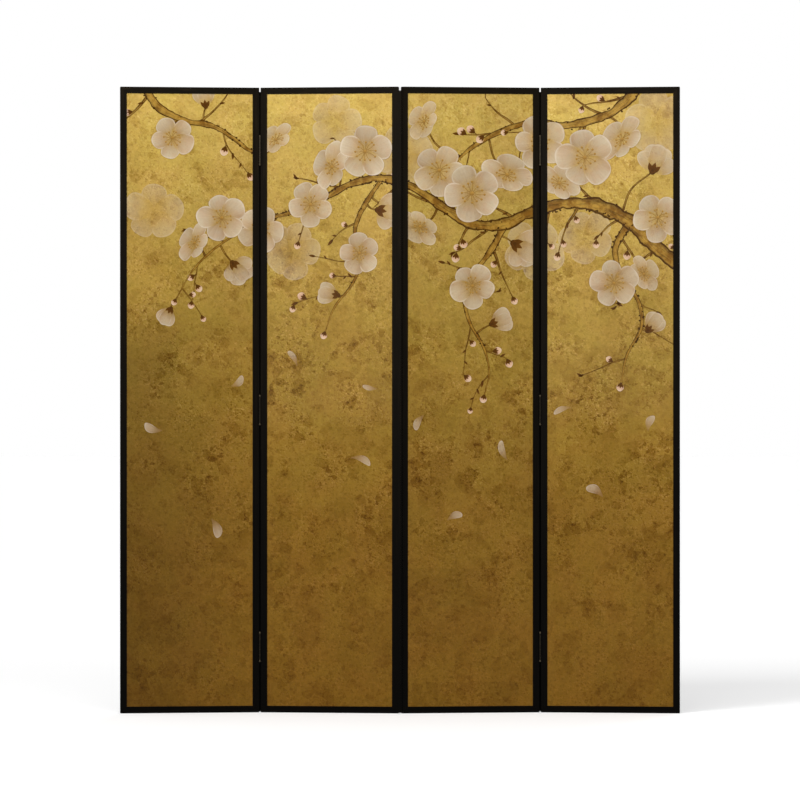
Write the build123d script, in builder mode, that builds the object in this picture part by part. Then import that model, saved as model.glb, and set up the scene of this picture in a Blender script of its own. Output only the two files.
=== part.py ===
"""Four-panel folding screen: black lacquered frames round gilt boards, hinged to stand in a zigzag.

Millimetres. +Z is up, the fronts face -Y, and the origin is at the bottom centre of the whole screen.
"""

import os
from build123d import *

# One panel
PANEL_WIDTH = 400.0
PANEL_HEIGHT = 1800.0
FRAME_FACE = 19.0  # width of a stile or rail, seen from the front
FRAME_DEPTH = 22.0
CORNER_ROUND = 2.0  # of the panel's outline
ARRIS = 1.0  # rounding along the frame's outer edges
INNER_ARRIS = 0.8  # rounding along the edge next to the board

# Groove that holds the boards
REVEAL = 2.5  # how far a board's face lies behind the frame's
GROOVE_DEPTH = 6.0
BOARD_CLEARANCE = 0.3  # round the edges of the boards and the core

# Boards and core lattice
BOARD_THICKNESS = 3.0
LATTICE_BORDER = 20.0
LATTICE_BATTEN = 14.0
LATTICE_COLUMNS = 3
LATTICE_ROWS = 12

# Corner joint: a mitre with a hidden tenon on the rail
TENON_THICKNESS = 8.0
TENON_SET = 6.0  # from the outer edge of the rail to the tenon
TENON_STOP = 5.0  # wood left past the tenon's end
TENON_SHOULDER = 0.5  # between the tenon and the groove
TENON_CLEARANCE = 0.1

# Butt hinges
HINGE_LENGTH = 76.0
LEAF_THICKNESS = 1.35
LEAF_WIDTH = 13.0
LEAF_CLEARANCE = 0.3  # between the two leaves of a flat hinge
PIN_DIAMETER = 2.8
PIN_CLEARANCE = 0.05
BARREL_CLEARANCE = 0.15  # between the barrel and the face of the frame
KNUCKLE_COUNT = 5
KNUCKLE_CLEARANCE = 0.2
TIP_DIAMETER = 6.0
COLLAR_DIAMETER = 4.4
COLLAR_THICKNESS = 0.8
UPPER_HINGE_DROP = 181.0  # from the top of the panel to the middle of the hinge
MIDDLE_HINGE_HEIGHT = 871.0
LOWER_HINGE_HEIGHT = 189.0

# Hinge screws
SCREW_DIAMETER = 2.8
SCREW_LENGTH = 11.0
SCREW_POINT = 3.0
SCREW_CLEARANCE = 0.05
SCREW_SUNK = 0.05  # head below the face of the leaf
SCREW_HEAD_FLOOR = 0.1  # thickness of the leaf left below the head
SCREW_SLOT_WIDTH = 0.7
SCREW_SLOT_DEPTH = 0.5
SCREW_PITCH = 26.0
SCREW_SETBACK = 6.5  # from the pin side of the frame to the line of screws
SCREW_STAGGER = 2.0

# Lip that closes the gap between two panels, on the side away from the pins
LIP_THICKNESS = 4.0
LIP_OVERLAP = 5.0
LIP_CLEARANCE = 0.3
LIP_TOP_STOP = 11.0
LIP_BOTTOM_STOP = 2.0

# Angle of each panel from flat, in degrees, as the screen stands
FOLD = 6.0

# Worked out from the sizes above
SEAM_GAP = 2 * LEAF_THICKNESS + LEAF_CLEARANCE
BARREL_RADIUS = PIN_DIAMETER / 2 + PIN_CLEARANCE + LEAF_THICKNESS
PIN_STANDOFF = BARREL_RADIUS + BARREL_CLEARANCE
KNUCKLE_LENGTH = HINGE_LENGTH / KNUCKLE_COUNT
SCREW_HEAD_DEPTH = LEAF_THICKNESS - SCREW_SUNK - SCREW_HEAD_FLOOR
SCREW_HEAD_DIAMETER = SCREW_DIAMETER + 2 * SCREW_HEAD_DEPTH
GROOVE_BOTTOM = FRAME_FACE - GROOVE_DEPTH
CORE_THICKNESS = FRAME_DEPTH - 2 * REVEAL - 2 * BOARD_THICKNESS
BOARD_WIDTH = PANEL_WIDTH - 2 * (GROOVE_BOTTOM + BOARD_CLEARANCE)
BOARD_HEIGHT = PANEL_HEIGHT - 2 * (GROOVE_BOTTOM + BOARD_CLEARANCE)
TENON_HEIGHT = GROOVE_BOTTOM - TENON_SET - TENON_SHOULDER
LIP_REACH = SEAM_GAP + LIP_OVERLAP
REBATE_WIDTH = LIP_OVERLAP + LIP_CLEARANCE
REBATE_DEPTH = LIP_THICKNESS + LIP_CLEARANCE
HINGE_HEIGHTS = {
    "upper": PANEL_HEIGHT - UPPER_HINGE_DROP,
    "middle": MIDDLE_HINGE_HEIGHT,
    "lower": LOWER_HINGE_HEIGHT,
}

# A panel's own frame has its origin at the lower left corner of the front, X along its width,
# Y from its front to its back, and Z up.
LEFT, RIGHT = 1, -1  # direction from that edge of the panel to its middle
FRONT, BACK = 1, -1  # direction from that face of the panel to the other


def within(plane, origin, x_dir, z_dir):
    """A plane that is given in another plane's own coordinates."""
    return Plane(plane.location * Plane(origin=origin, x_dir=x_dir, z_dir=z_dir).location)


def axis_spot(side, face):
    """Where the hinge pins beside a panel stand, across and through that panel."""
    across = -SEAM_GAP / 2 if side == LEFT else PANEL_WIDTH + SEAM_GAP / 2
    through = -PIN_STANDOFF if face == FRONT else FRAME_DEPTH + PIN_STANDOFF
    return across, through


def panel_beside(pins, side, face, turn):
    """A panel's frame, turned about Z, with a seam's pins in their place at one of its edges."""
    turned = Plane.XY.rotated((0, 0, turn))
    corner = pins - pins_beside(turned, side, face)
    return Plane(origin=corner, x_dir=turned.x_dir, z_dir=turned.z_dir)


def pins_beside(panel, side, face):
    """Where the pins at one edge of a panel meet the floor."""
    return panel.from_local_coords(Vector(*axis_spot(side, face), 0))


def zigzag(middle_pins):
    """The frames of the four panels, with the middle seam's pins at a given place."""
    second = panel_beside(middle_pins, RIGHT, BACK, -FOLD)
    third = panel_beside(middle_pins, LEFT, BACK, FOLD)
    first = panel_beside(pins_beside(second, LEFT, FRONT), RIGHT, FRONT, FOLD)
    fourth = panel_beside(pins_beside(third, RIGHT, FRONT), LEFT, FRONT, -FOLD)
    return first, second, third, fourth


def depth_middle(first, second):
    """The middle of the screen's depth, between the second panel's lip, in front, and the first one's."""
    lip_end = PANEL_WIDTH + LIP_REACH - ARRIS
    near = second.from_local_coords(Vector(lip_end, ARRIS, 0)).Y - ARRIS
    far = first.from_local_coords(Vector(lip_end, FRAME_DEPTH - ARRIS, 0)).Y + ARRIS
    return (near + far) / 2


def face_plane(panel, depth):
    """A plane in the middle of a panel, at a depth behind its front, facing forward."""
    return within(panel, (PANEL_WIDTH / 2, depth, PANEL_HEIGHT / 2), (1, 0, 0), (0, -1, 0))


# A frame member's own frame has X from its outer edge inward, Y from front to back, and Z along it.


def left_edge(panel):
    return within(panel, (0, 0, 0), (1, 0, 0), (0, 0, 1))


def right_edge(panel):
    return within(panel, (PANEL_WIDTH, 0, PANEL_HEIGHT), (-1, 0, 0), (0, 0, -1))


def top_edge(panel):
    return within(panel, (0, 0, PANEL_HEIGHT), (0, 0, -1), (1, 0, 0))


def bottom_edge(panel):
    return within(panel, (PANEL_WIDTH, 0, 0), (0, 0, 1), (-1, 0, 0))


def member_section(member):
    """The section of a stile or rail: a bar with eased edges and a groove in its inner side."""
    with BuildSketch(member) as section:
        with Locations((FRAME_FACE / 2, FRAME_DEPTH / 2)):
            Rectangle(FRAME_FACE, FRAME_DEPTH)
        outer_corners = section.vertices().group_by(Axis.X)[0]
        inner_corners = section.vertices().group_by(Axis.X)[-1]
        fillet(outer_corners, ARRIS)
        fillet(inner_corners, INNER_ARRIS)
        with Locations((FRAME_FACE - GROOVE_DEPTH / 2, FRAME_DEPTH / 2)):
            Rectangle(GROOVE_DEPTH, FRAME_DEPTH - 2 * REVEAL, mode=Mode.SUBTRACT)
    return section.sketch


def mitred_outline(member, length):
    """A member's outline between its two mitres, seen from the front."""
    with BuildSketch(within(member, (0, 0, 0), (1, 0, 0), (0, -1, 0))) as outline:
        with BuildLine():
            Polyline(
                (0, 0),
                (FRAME_FACE, FRAME_FACE),
                (FRAME_FACE, length - FRAME_FACE),
                (0, length),
                close=True,
            )
        make_face()
    return outline.sketch


def panel_outline(panel):
    """The whole panel's outline with its rounded corners, seen from the front."""
    with BuildSketch(face_plane(panel, 0)) as outline:
        RectangleRounded(PANEL_WIDTH, PANEL_HEIGHT, CORNER_ROUND)
    return outline.sketch


def rebate_section(panel, face):
    """Room at a panel's left edge for its neighbour's lip, on the side away from the pins."""
    middle = FRAME_DEPTH - REBATE_DEPTH / 2 if face == FRONT else REBATE_DEPTH / 2
    with BuildSketch(panel) as rebate:
        with Locations((0, middle)):
            Rectangle(2 * REBATE_WIDTH, REBATE_DEPTH)
    return rebate.sketch


def lip_section(member, face):
    """The lip on a right stile that closes the gap behind or in front of the hinges."""
    middle = FRAME_DEPTH - LIP_THICKNESS / 2 if face == FRONT else LIP_THICKNESS / 2
    with BuildSketch(member.offset(LIP_TOP_STOP)) as lip:
        with Locations(((ARRIS - LIP_REACH) / 2, middle)):
            Rectangle(LIP_REACH + ARRIS, LIP_THICKNESS)
        fillet(lip.vertices().group_by(Axis.X)[0], ARRIS)
    return lip.sketch


def screw_spots(side, face):
    """Depth and distance along a stile of the screws of its three hinges."""
    spots = []
    for height in HINGE_HEIGHTS.values():
        along = height if side == LEFT else PANEL_HEIGHT - height
        for step, shift in ((-1, 1), (0, -1), (1, 1)):
            setback = SCREW_SETBACK + shift * SCREW_STAGGER
            depth = setback if face == FRONT else FRAME_DEPTH - setback
            spots.append((depth, along + step * SCREW_PITCH))
    return spots


def edge_plane(member, inset):
    """A plane along a member, parallel to its outer edge, facing inward: X is depth and Y is along."""
    return within(member, (inset, 0, 0), (0, 1, 0), (1, 0, 0))


def mortises(member):
    """The holes for both rails' tenons, on a plane at their blind ends."""
    from_end = TENON_SET + TENON_HEIGHT / 2
    with BuildSketch(edge_plane(member, TENON_STOP - TENON_CLEARANCE)) as holes:
        with Locations((FRAME_DEPTH / 2, from_end), (FRAME_DEPTH / 2, PANEL_HEIGHT - from_end)):
            Rectangle(TENON_THICKNESS + 2 * TENON_CLEARANCE, TENON_HEIGHT + 2 * TENON_CLEARANCE)
    return holes.sketch


def make_stile(panel, side, face):
    """A stile. face is where its hinge pins are, or None on an edge with no neighbour."""
    member = left_edge(panel) if side == LEFT else right_edge(panel)
    mortise_depth = TENON_SET + TENON_HEIGHT + TENON_SHOULDER - TENON_STOP
    with BuildPart() as stile:
        extrude(member_section(member), amount=PANEL_HEIGHT)
        extrude(mitred_outline(member, PANEL_HEIGHT), amount=-FRAME_DEPTH, mode=Mode.INTERSECT)
        extrude(panel_outline(panel), amount=-FRAME_DEPTH, mode=Mode.INTERSECT)
        extrude(mortises(member), amount=mortise_depth, mode=Mode.SUBTRACT)
        if face is not None:
            with BuildSketch(edge_plane(member, 0)):
                with Locations(*screw_spots(side, face)):
                    Circle(SCREW_DIAMETER / 2 + SCREW_CLEARANCE)
            extrude(amount=SCREW_LENGTH, mode=Mode.SUBTRACT)
        if face is not None and side == RIGHT:
            lip_length = PANEL_HEIGHT - LIP_TOP_STOP - LIP_BOTTOM_STOP
            extrude(lip_section(member, face), amount=lip_length)
        if face is not None and side == LEFT:
            extrude(rebate_section(panel, face), amount=PANEL_HEIGHT, mode=Mode.SUBTRACT)
    return stile


def make_rail(panel, member, left_face):
    """A rail with its tenons. left_face is where the pins at the panel's left edge are, or None."""
    tenon_length = TENON_SET + TENON_HEIGHT + TENON_SHOULDER - TENON_STOP
    with BuildPart() as rail:
        extrude(member_section(member), amount=PANEL_WIDTH)
        extrude(mitred_outline(member, PANEL_WIDTH), amount=-FRAME_DEPTH, mode=Mode.INTERSECT)
        extrude(panel_outline(panel), amount=-FRAME_DEPTH, mode=Mode.INTERSECT)
        for start, direction in ((TENON_STOP, 1), (PANEL_WIDTH - TENON_STOP, -1)):
            with BuildSketch(member.offset(start)):
                with Locations((TENON_SET + TENON_HEIGHT / 2, FRAME_DEPTH / 2)):
                    Rectangle(TENON_HEIGHT, TENON_THICKNESS)
            extrude(amount=direction * tenon_length)
        if left_face is not None:
            extrude(rebate_section(panel, left_face), amount=PANEL_HEIGHT, mode=Mode.SUBTRACT)
    return rail


def make_board(panel, depth):
    """A plain board in the groove, its front at a depth behind the frame's front."""
    with BuildPart() as board:
        with BuildSketch(face_plane(panel, depth)):
            Rectangle(BOARD_WIDTH, BOARD_HEIGHT)
        extrude(amount=-BOARD_THICKNESS)
    return board


def make_lattice(panel):
    """The grid of battens between the two boards."""
    column_pitch = (BOARD_WIDTH - 2 * LATTICE_BORDER + LATTICE_BATTEN) / LATTICE_COLUMNS
    row_pitch = (BOARD_HEIGHT - 2 * LATTICE_BORDER + LATTICE_BATTEN) / LATTICE_ROWS
    with BuildPart() as lattice:
        with BuildSketch(face_plane(panel, REVEAL + BOARD_THICKNESS)):
            Rectangle(BOARD_WIDTH, BOARD_HEIGHT)
            with GridLocations(column_pitch, row_pitch, LATTICE_COLUMNS, LATTICE_ROWS):
                Rectangle(column_pitch - LATTICE_BATTEN, row_pitch - LATTICE_BATTEN, mode=Mode.SUBTRACT)
        extrude(amount=-CORE_THICKNESS)
    return lattice


def hinge_plane(panel, side, face, height):
    """A hinge's own frame, on its pin: X points to the panel's middle, and Y from the pins past the panel."""
    across, through = axis_spot(side, face)
    return within(panel, (across, through, height), (side, 0, 0), (0, 0, side * face))


def make_leaf(hinge, first_knuckle):
    """A leaf that carries every second knuckle, from the first or the second one on."""
    plate_length = PIN_STANDOFF + LEAF_WIDTH
    plate_middle = (LEAF_CLEARANCE + LEAF_THICKNESS) / 2
    with BuildPart() as leaf:
        with BuildSketch(hinge):
            Circle(BARREL_RADIUS)
            with Locations((plate_middle, plate_length / 2)):
                Rectangle(LEAF_THICKNESS, plate_length)
        extrude(amount=HINGE_LENGTH / 2, both=True)
        with BuildSketch(hinge):
            Circle(PIN_DIAMETER / 2 + PIN_CLEARANCE)
        extrude(amount=HINGE_LENGTH / 2, both=True, mode=Mode.SUBTRACT)
        for index in range(1 - first_knuckle, KNUCKLE_COUNT, 2):
            middle = (index + 0.5) * KNUCKLE_LENGTH - HINGE_LENGTH / 2
            with BuildSketch(hinge.offset(middle)):
                Circle(BARREL_RADIUS + KNUCKLE_CLEARANCE)
            extrude(amount=KNUCKLE_LENGTH / 2 + KNUCKLE_CLEARANCE / 2, both=True, mode=Mode.SUBTRACT)
        inner_face = within(hinge, (LEAF_CLEARANCE / 2, PIN_STANDOFF, 0), (0, 1, 0), (-1, 0, 0))
        with Locations(inner_face.location):
            with Locations(
                (SCREW_SETBACK + SCREW_STAGGER, -SCREW_PITCH),
                (SCREW_SETBACK - SCREW_STAGGER, 0),
                (SCREW_SETBACK + SCREW_STAGGER, SCREW_PITCH),
            ):
                CounterSinkHole(
                    radius=SCREW_DIAMETER / 2 + 2 * SCREW_CLEARANCE,
                    counter_sink_radius=SCREW_HEAD_DIAMETER / 2 + 2 * SCREW_CLEARANCE,
                    depth=LEAF_THICKNESS,
                    counter_sink_angle=90,
                )
    return leaf


def make_pins(panel, face):
    """The three pins at a panel's right edge, each with a ball at both ends."""
    with BuildPart() as pins:
        for height in HINGE_HEIGHTS.values():
            hinge = hinge_plane(panel, RIGHT, face, height)
            with BuildSketch(hinge):
                Circle(PIN_DIAMETER / 2)
            extrude(amount=HINGE_LENGTH / 2 + KNUCKLE_CLEARANCE + COLLAR_THICKNESS, both=True)
            for end in (-1, 1):
                collar_start = HINGE_LENGTH / 2 + KNUCKLE_CLEARANCE
                with BuildSketch(hinge.offset(end * collar_start)):
                    Circle(COLLAR_DIAMETER / 2)
                extrude(amount=end * COLLAR_THICKNESS)
                with Locations(hinge.offset(end * (collar_start + TIP_DIAMETER / 2)).location):
                    Sphere(TIP_DIAMETER / 2)
    return pins


def make_screws(panel, side, face):
    """The nine screws in one stile, with their slotted heads in the leaves."""
    member = left_edge(panel) if side == LEFT else right_edge(panel)
    shank_length = SCREW_LENGTH - SCREW_HEAD_DEPTH - SCREW_POINT
    heads = edge_plane(member, SCREW_SUNK - LEAF_THICKNESS)
    with BuildPart() as screws:
        with BuildSketch(heads):
            with Locations(*screw_spots(side, face)):
                Circle(SCREW_HEAD_DIAMETER / 2)
        extrude(amount=SCREW_HEAD_DEPTH, taper=45)
        with BuildSketch(heads.offset(SCREW_HEAD_DEPTH)):
            with Locations(*screw_spots(side, face)):
                Circle(SCREW_DIAMETER / 2)
        extrude(amount=shank_length)
        with Locations(heads.offset(SCREW_HEAD_DEPTH + shank_length).location):
            with Locations(*screw_spots(side, face)):
                Cone(SCREW_DIAMETER / 2, 0, SCREW_POINT, align=(Align.CENTER, Align.CENTER, Align.MIN))
        with BuildSketch(heads):
            with Locations(*screw_spots(side, face)):
                Rectangle(SCREW_SLOT_WIDTH, SCREW_HEAD_DIAMETER)
        extrude(amount=SCREW_SLOT_DEPTH, mode=Mode.SUBTRACT)
    return screws


def save(piece, name):
    """Label a finished piece and write it under its own name."""
    piece.part.label = name
    export_step(piece.part, f"parts/{name}.step")


def save_panel(panel, name, left_face, right_face):
    """Make and write the seven pieces of one panel."""
    save(make_stile(panel, LEFT, left_face), f"{name}_left_stile")
    save(make_stile(panel, RIGHT, right_face), f"{name}_right_stile")
    save(make_rail(panel, top_edge(panel), left_face), f"{name}_top_rail")
    save(make_rail(panel, bottom_edge(panel), left_face), f"{name}_bottom_rail")
    save(make_board(panel, REVEAL), f"{name}_gilt_board")
    save(make_board(panel, FRAME_DEPTH - REVEAL - BOARD_THICKNESS), f"{name}_back_board")
    save(make_lattice(panel), f"{name}_core_lattice")


def save_seam(left_panel, right_panel, name, face):
    """Make and write the hinges, pins and screws between two panels."""
    for level, height in HINGE_HEIGHTS.items():
        left_hinge = hinge_plane(left_panel, RIGHT, face, height)
        right_hinge = hinge_plane(right_panel, LEFT, face, height)
        save(make_leaf(left_hinge, 0), f"{name}_{level}_hinge_left_leaf")
        save(make_leaf(right_hinge, 1), f"{name}_{level}_hinge_right_leaf")
    save(make_pins(left_panel, face), f"{name}_hinge_pins")
    save(make_screws(left_panel, RIGHT, face), f"{name}_left_screws")
    save(make_screws(right_panel, LEFT, face), f"{name}_right_screws")


os.makedirs("parts", exist_ok=True)

first_try = zigzag(Vector(0, 0, 0))
middle_of_depth = depth_middle(first_try[0], first_try[1])
panels = zigzag(Vector(0, -middle_of_depth, 0))
seam_faces = (FRONT, BACK, FRONT)  # of the panels, where each seam's pins are

for number, panel in enumerate(panels, start=1):
    left_face = seam_faces[number - 2] if number > 1 else None
    right_face = seam_faces[number - 1] if number < len(panels) else None
    save_panel(panel, f"panel_{number}", left_face, right_face)

for number, face in enumerate(seam_faces, start=1):
    left_panel, right_panel = panels[number - 1], panels[number]
    save_seam(left_panel, right_panel, f"seam_{number}", face)
    pins = pins_beside(left_panel, RIGHT, face)
    print(f"seam_{number} pins at x {pins.X:.4f}, y {pins.Y:.4f} mm")
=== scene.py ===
import logging
import math
import random
from dataclasses import dataclass, field
from enum import Enum
from typing import Callable, Iterable, Sequence

import bmesh
import bpy
from mathutils import Matrix, Vector, noise


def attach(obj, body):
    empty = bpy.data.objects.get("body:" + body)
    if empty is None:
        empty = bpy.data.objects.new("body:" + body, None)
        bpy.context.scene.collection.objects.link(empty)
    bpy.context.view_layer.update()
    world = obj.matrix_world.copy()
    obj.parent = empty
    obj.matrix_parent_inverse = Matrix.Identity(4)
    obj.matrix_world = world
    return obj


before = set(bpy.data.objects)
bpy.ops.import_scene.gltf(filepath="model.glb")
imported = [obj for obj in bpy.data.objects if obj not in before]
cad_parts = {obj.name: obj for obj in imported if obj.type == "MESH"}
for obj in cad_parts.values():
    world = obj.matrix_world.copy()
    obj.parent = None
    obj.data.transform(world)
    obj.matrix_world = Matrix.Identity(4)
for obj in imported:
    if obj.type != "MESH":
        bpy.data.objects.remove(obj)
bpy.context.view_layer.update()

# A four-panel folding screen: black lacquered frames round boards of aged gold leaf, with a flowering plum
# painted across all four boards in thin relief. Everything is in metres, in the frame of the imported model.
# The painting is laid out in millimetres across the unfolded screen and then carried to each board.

log = logging.getLogger("folding_screen")

Colour = tuple[float, float, float]
Knot = tuple[float, float, float]
Spot = tuple[float, float]
Mark = tuple[float, float, float, float]
Point = Spot | Vector
Node = bpy.types.Node
Socket = bpy.types.NodeSocket
Material = bpy.types.Material
Feeds = dict[int | str, object]

MILLIMETRE = 0.001
UV_NAME = "paint"
WASH_NAME = "wash"
PLAIN_WASH: Colour = (1.0, 1.0, 0.5)
FACE_ON = Matrix.Identity(2)


class Slot(Enum):
    """The record's material slot of the gilt boards."""

    GILT = "gilt_board"


class Recipe:
    """A node tree in the making, with short calls for the nodes that the finishes share."""

    def __init__(self, tree: bpy.types.NodeTree) -> None:
        """Starts on an empty tree."""
        self.tree = tree
        tree.nodes.clear()

    def feed(self, socket: Socket, value: object) -> None:
        """Links a socket to an output, or gives it a plain value.

        Args:
            socket: the input.
            value: an output socket, a number, a vector or a colour of three numbers.
        """
        if isinstance(value, bpy.types.NodeSocket):
            self.tree.links.new(value, socket)
        elif socket.type == "RGBA":
            socket.default_value = (*value, 1.0)
        else:
            socket.default_value = value

    def node(self, kind: str, feeds: Feeds | None = None, **settings: object) -> Node:
        """Adds a node.

        Args:
            kind: its type, without the leading ShaderNode.
            feeds: what goes into its inputs, by their names or places.
            settings: its options by name.

        Returns:
            The node.
        """
        made = self.tree.nodes.new(f"ShaderNode{kind}")
        for name, value in settings.items():
            setattr(made, name, value)
        for name, value in (feeds or {}).items():
            self.feed(made.inputs[name], value)
        return made

    def end(self, kind: str, shader: Node) -> None:
        """Ends the tree in an output of a kind, fed by a shader."""
        self.node(f"Output{kind}", {"Surface": shader.outputs[0]})

    def principled(self, feeds: Feeds) -> None:
        """Ends a material's tree in a Principled shader with the given inputs."""
        self.end("Material", self.node("BsdfPrincipled", feeds))

    def math(self, operation: str, *values: object, clamp: bool = False) -> Socket:
        """The result of a Math node."""
        return self.node("Math", dict(enumerate(values)), operation=operation, use_clamp=clamp).outputs[0]

    def times(self, first: object, second: object, clamp: bool = False) -> Socket:
        """One number times another."""
        return self.math("MULTIPLY", first, second, clamp=clamp)

    def off_centre(self, value: Socket) -> Socket:
        """How far a share is from a half."""
        return self.math("ABSOLUTE", self.math("SUBTRACT", value, 0.5))

    def vector_math(self, operation: str, *values: object) -> Socket:
        """The result of a Vector Math node."""
        return self.node("VectorMath", dict(enumerate(values)), operation=operation).outputs[0]

    def mix(self, share: object, first: object, second: object, blend: str = "MIX") -> Socket:
        """The first colour with a share of the second on it."""
        feeds = {0: share, 6: first, 7: second}
        return self.node("Mix", feeds, data_type="RGBA", blend_type=blend).outputs[2]

    def tint(self, share: object, colour: object, tint: object) -> Socket:
        """A colour with a share of a tint multiplied into it."""
        return self.mix(share, colour, tint, "MULTIPLY")

    def shade(self, colour: object, level: object) -> Socket:
        """A colour multiplied by a number."""
        return self.tint(1.0, colour, self.node("CombineColor", {0: level, 1: level, 2: level}).outputs[0])

    def between(self, share: object, first: object, second: object) -> Socket:
        """The number that lies at a share of the way between two others."""
        return self.node("Mix", {0: share, 2: first, 3: second}, data_type="FLOAT").outputs[0]

    def rise(self, value: object, low: float, high: float, start: float = 0.0, end: float = 1.0) -> Socket:
        """A level that goes smoothly from start to end as a value goes from low to high."""
        feeds = dict(enumerate((value, low, high, start, end)))
        return self.node("MapRange", feeds, interpolation_type="SMOOTHSTEP").outputs[0]

    def place(self, scale: Knot = (1, 1, 1), shift: Knot = (0, 0, 0)) -> Socket:
        """Object coordinates, stretched so that a pattern is finer along an axis, and shifted."""
        feeds = {"Vector": self.node("TexCoord").outputs["Object"], "Scale": scale, "Location": shift}
        return self.node("Mapping", feeds).outputs[0]

    def axes(self, vector: Socket) -> Sequence[Socket]:
        """A vector's three numbers."""
        return self.node("SeparateXYZ", {0: vector}).outputs

    def height(self) -> Socket:
        """The height above the ground in metres, at rest."""
        return self.axes(self.place())["Z"]

    def strip(self) -> Sequence[Socket]:
        """The places across and along a painted shape, each from 0 to 1."""
        return self.axes(self.node("UVMap", uv_map=UV_NAME).outputs[0])

    def noise(self, place: object, scale: float, detail: float = 2.0, rough: float = 0.5, warp: float = 0.0,
              output: str = "Fac") -> Socket:
        """A noise between 0 and 1, as a number (Fac) or a colour (Color)."""
        feeds = {"Vector": place, "Scale": scale, "Detail": detail, "Roughness": rough, "Distortion": warp}
        return self.node("TexNoise", feeds).outputs[output]

    def ragged(self, place: Socket, fine: float, detail: float, reach: float) -> Socket:
        """Coordinates that a noise moves.

        Args:
            place: the coordinates.
            fine: how fine the noise is.
            detail: its octaves.
            reach: how far it moves them.

        Returns:
            The moved coordinates.
        """
        shake = self.noise(place, fine, detail, output="Color")
        moved = self.node("VectorMath", {0: shake, "Scale": reach}, operation="SCALE").outputs[0]
        return self.vector_math("ADD", place, moved)

    def ramp(self, value: Socket, stops: Sequence[tuple[float, Colour]]) -> Socket:
        """A run of colours that ease into each other.

        Args:
            value: where on the run, from 0 to 1.
            stops: the places and colours on it.

        Returns:
            The colour.
        """
        made = self.node("ValToRGB", {0: value})
        run = made.color_ramp
        run.interpolation = "B_SPLINE"
        while len(run.elements) < len(stops):
            run.elements.new(1.0)
        for element, (position, colour) in zip(run.elements, stops):
            element.position = position
            element.color = (*colour, 1.0)
        return made.outputs["Color"]

    def bump(self, relief: Socket, strength: float, reach: float) -> Socket:
        """The normal of a relief from 0 to 1, that is so strong and reaches so many metres."""
        return self.node("Bump", {"Height": relief, "Strength": strength, "Distance": reach}).outputs[0]


def new_material(name: str) -> tuple[Material, Recipe]:
    """Starts a material.

    Args:
        name: its name.

    Returns:
        The material and the recipe for its tree.
    """
    material = bpy.data.materials.new(name)
    material.use_nodes = True
    return material, Recipe(material.node_tree)


@dataclass(frozen=True)
class ClearCoat:
    """The clear gloss lacquer over the gold and the painting."""

    weight: float = 1.0
    roughness: float = 0.07
    index: float = 1.13

    def inputs(self, sheen: float = 0.0) -> dict[str, float]:
        """Returns the coat's inputs, with the sheen of what lies under it."""
        return {"Coat Weight": self.weight, "Coat Roughness": self.roughness, "Coat IOR": self.index,
                "Specular IOR Level": sheen}


@dataclass(frozen=True)
class BlackLacquer:
    """Black lacquer on hardwood, with the wood's grain faintly under it and a fine orange peel, painted
    darker at the foot and lighter at the head as shade and light.
    """

    name: str
    along: Knot
    ground: Colour = (0.0024, 0.0017, 0.0008)
    brown: Colour = (0.0062, 0.0042, 0.0020)
    # painted shade and light: how dark the lacquer is painted at the foot and how light at the head
    painted_shading: Spot = (0.35, 2.1)
    cloud_scale: float = 4.0
    peel_scale: float = 260.0
    grain_relief: float = 0.8
    roughness: Spot = (0.20, 0.37)
    specular: float = 0.030

    def material(self) -> Material:
        """Makes the lacquer, its grain running the way the member does.

        Returns:
            The material.
        """
        made, recipe = new_material(self.name)
        grain = recipe.noise(recipe.place(self.along), scale=1.0, detail=4.0, rough=0.6, warp=0.4)
        cloud = recipe.noise(recipe.place(), scale=self.cloud_scale, detail=3.0)
        peel = recipe.noise(recipe.place(), scale=self.peel_scale)
        share = recipe.times(recipe.rise(grain, 0.45, 0.75), recipe.rise(cloud, 0.3, 0.7))
        relief = recipe.math("ADD", peel, recipe.times(grain, self.grain_relief))
        # painted shade and light: darker towards the foot and lighter towards the head, by height alone
        faded = recipe.rise(recipe.height(), 0.2, 1.8, *self.painted_shading)
        recipe.principled({
            "Base Color": recipe.shade(recipe.mix(share, self.ground, self.brown), faded),
            "Roughness": recipe.between(cloud, *self.roughness),
            "Normal": recipe.bump(relief, strength=0.06, reach=0.0004),
            "Specular IOR Level": self.specular,
        })
        return made


@dataclass(frozen=True, kw_only=True)
class Fault:
    """A kind of fault in the leaf, scattered in cells.

    Attributes:
        size: about how wide a cell is, in metres.
        shake: how fine the noise is that makes the sides ragged, its octaves and how far it moves them.
        wear_and_shade: how strongly it shows where the leaf is sound and where it is worn.
        tint: what it does to the leaf's colour.
        shift: where its pattern starts.
        bare: whether it goes through the leaf, and so into the relief.
    """

    size: float
    shake: Knot
    wear_and_shade: Spot
    tint: Colour
    shift: Knot = (0, 0, 0)
    bare: bool = False

    def cells(self, recipe: Recipe, feature: str) -> Node:
        """Returns the node of its cells, for their F1 or their DISTANCE_TO_EDGE."""
        place = recipe.ragged(recipe.place(shift=self.shift), *self.shake)
        return recipe.node("TexVoronoi", {"Vector": place, "Scale": 1.0 / self.size}, feature=feature)


@dataclass(frozen=True, kw_only=True)
class Flakes(Fault):
    """Angular flakes. The chances are the one above which a cell starts to show and the one for all of it."""

    chances: Spot

    def pattern(self, recipe: Recipe) -> Socket:
        """Returns 1 on a flake and 0 off it."""
        chosen = recipe.node("SeparateColor", {0: self.cells(recipe, "F1").outputs["Color"]})
        return recipe.rise(chosen.outputs[0], *self.chances)


@dataclass(frozen=True, kw_only=True)
class Cracks(Fault):
    """Hair cracks between the cells. The width is where one starts to fade and where it ends, in cells."""

    size: float = 0.013
    shake: Knot = (70.0, 4.0, 0.016)
    width: Spot = (0.02, 0.055)

    def pattern(self, recipe: Recipe) -> Socket:
        """Returns 1 in a crack and 0 away from one."""
        apart = self.cells(recipe, "DISTANCE_TO_EDGE").outputs["Distance"]
        return recipe.rise(apart, *self.width, 1.0, 0.0)


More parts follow.
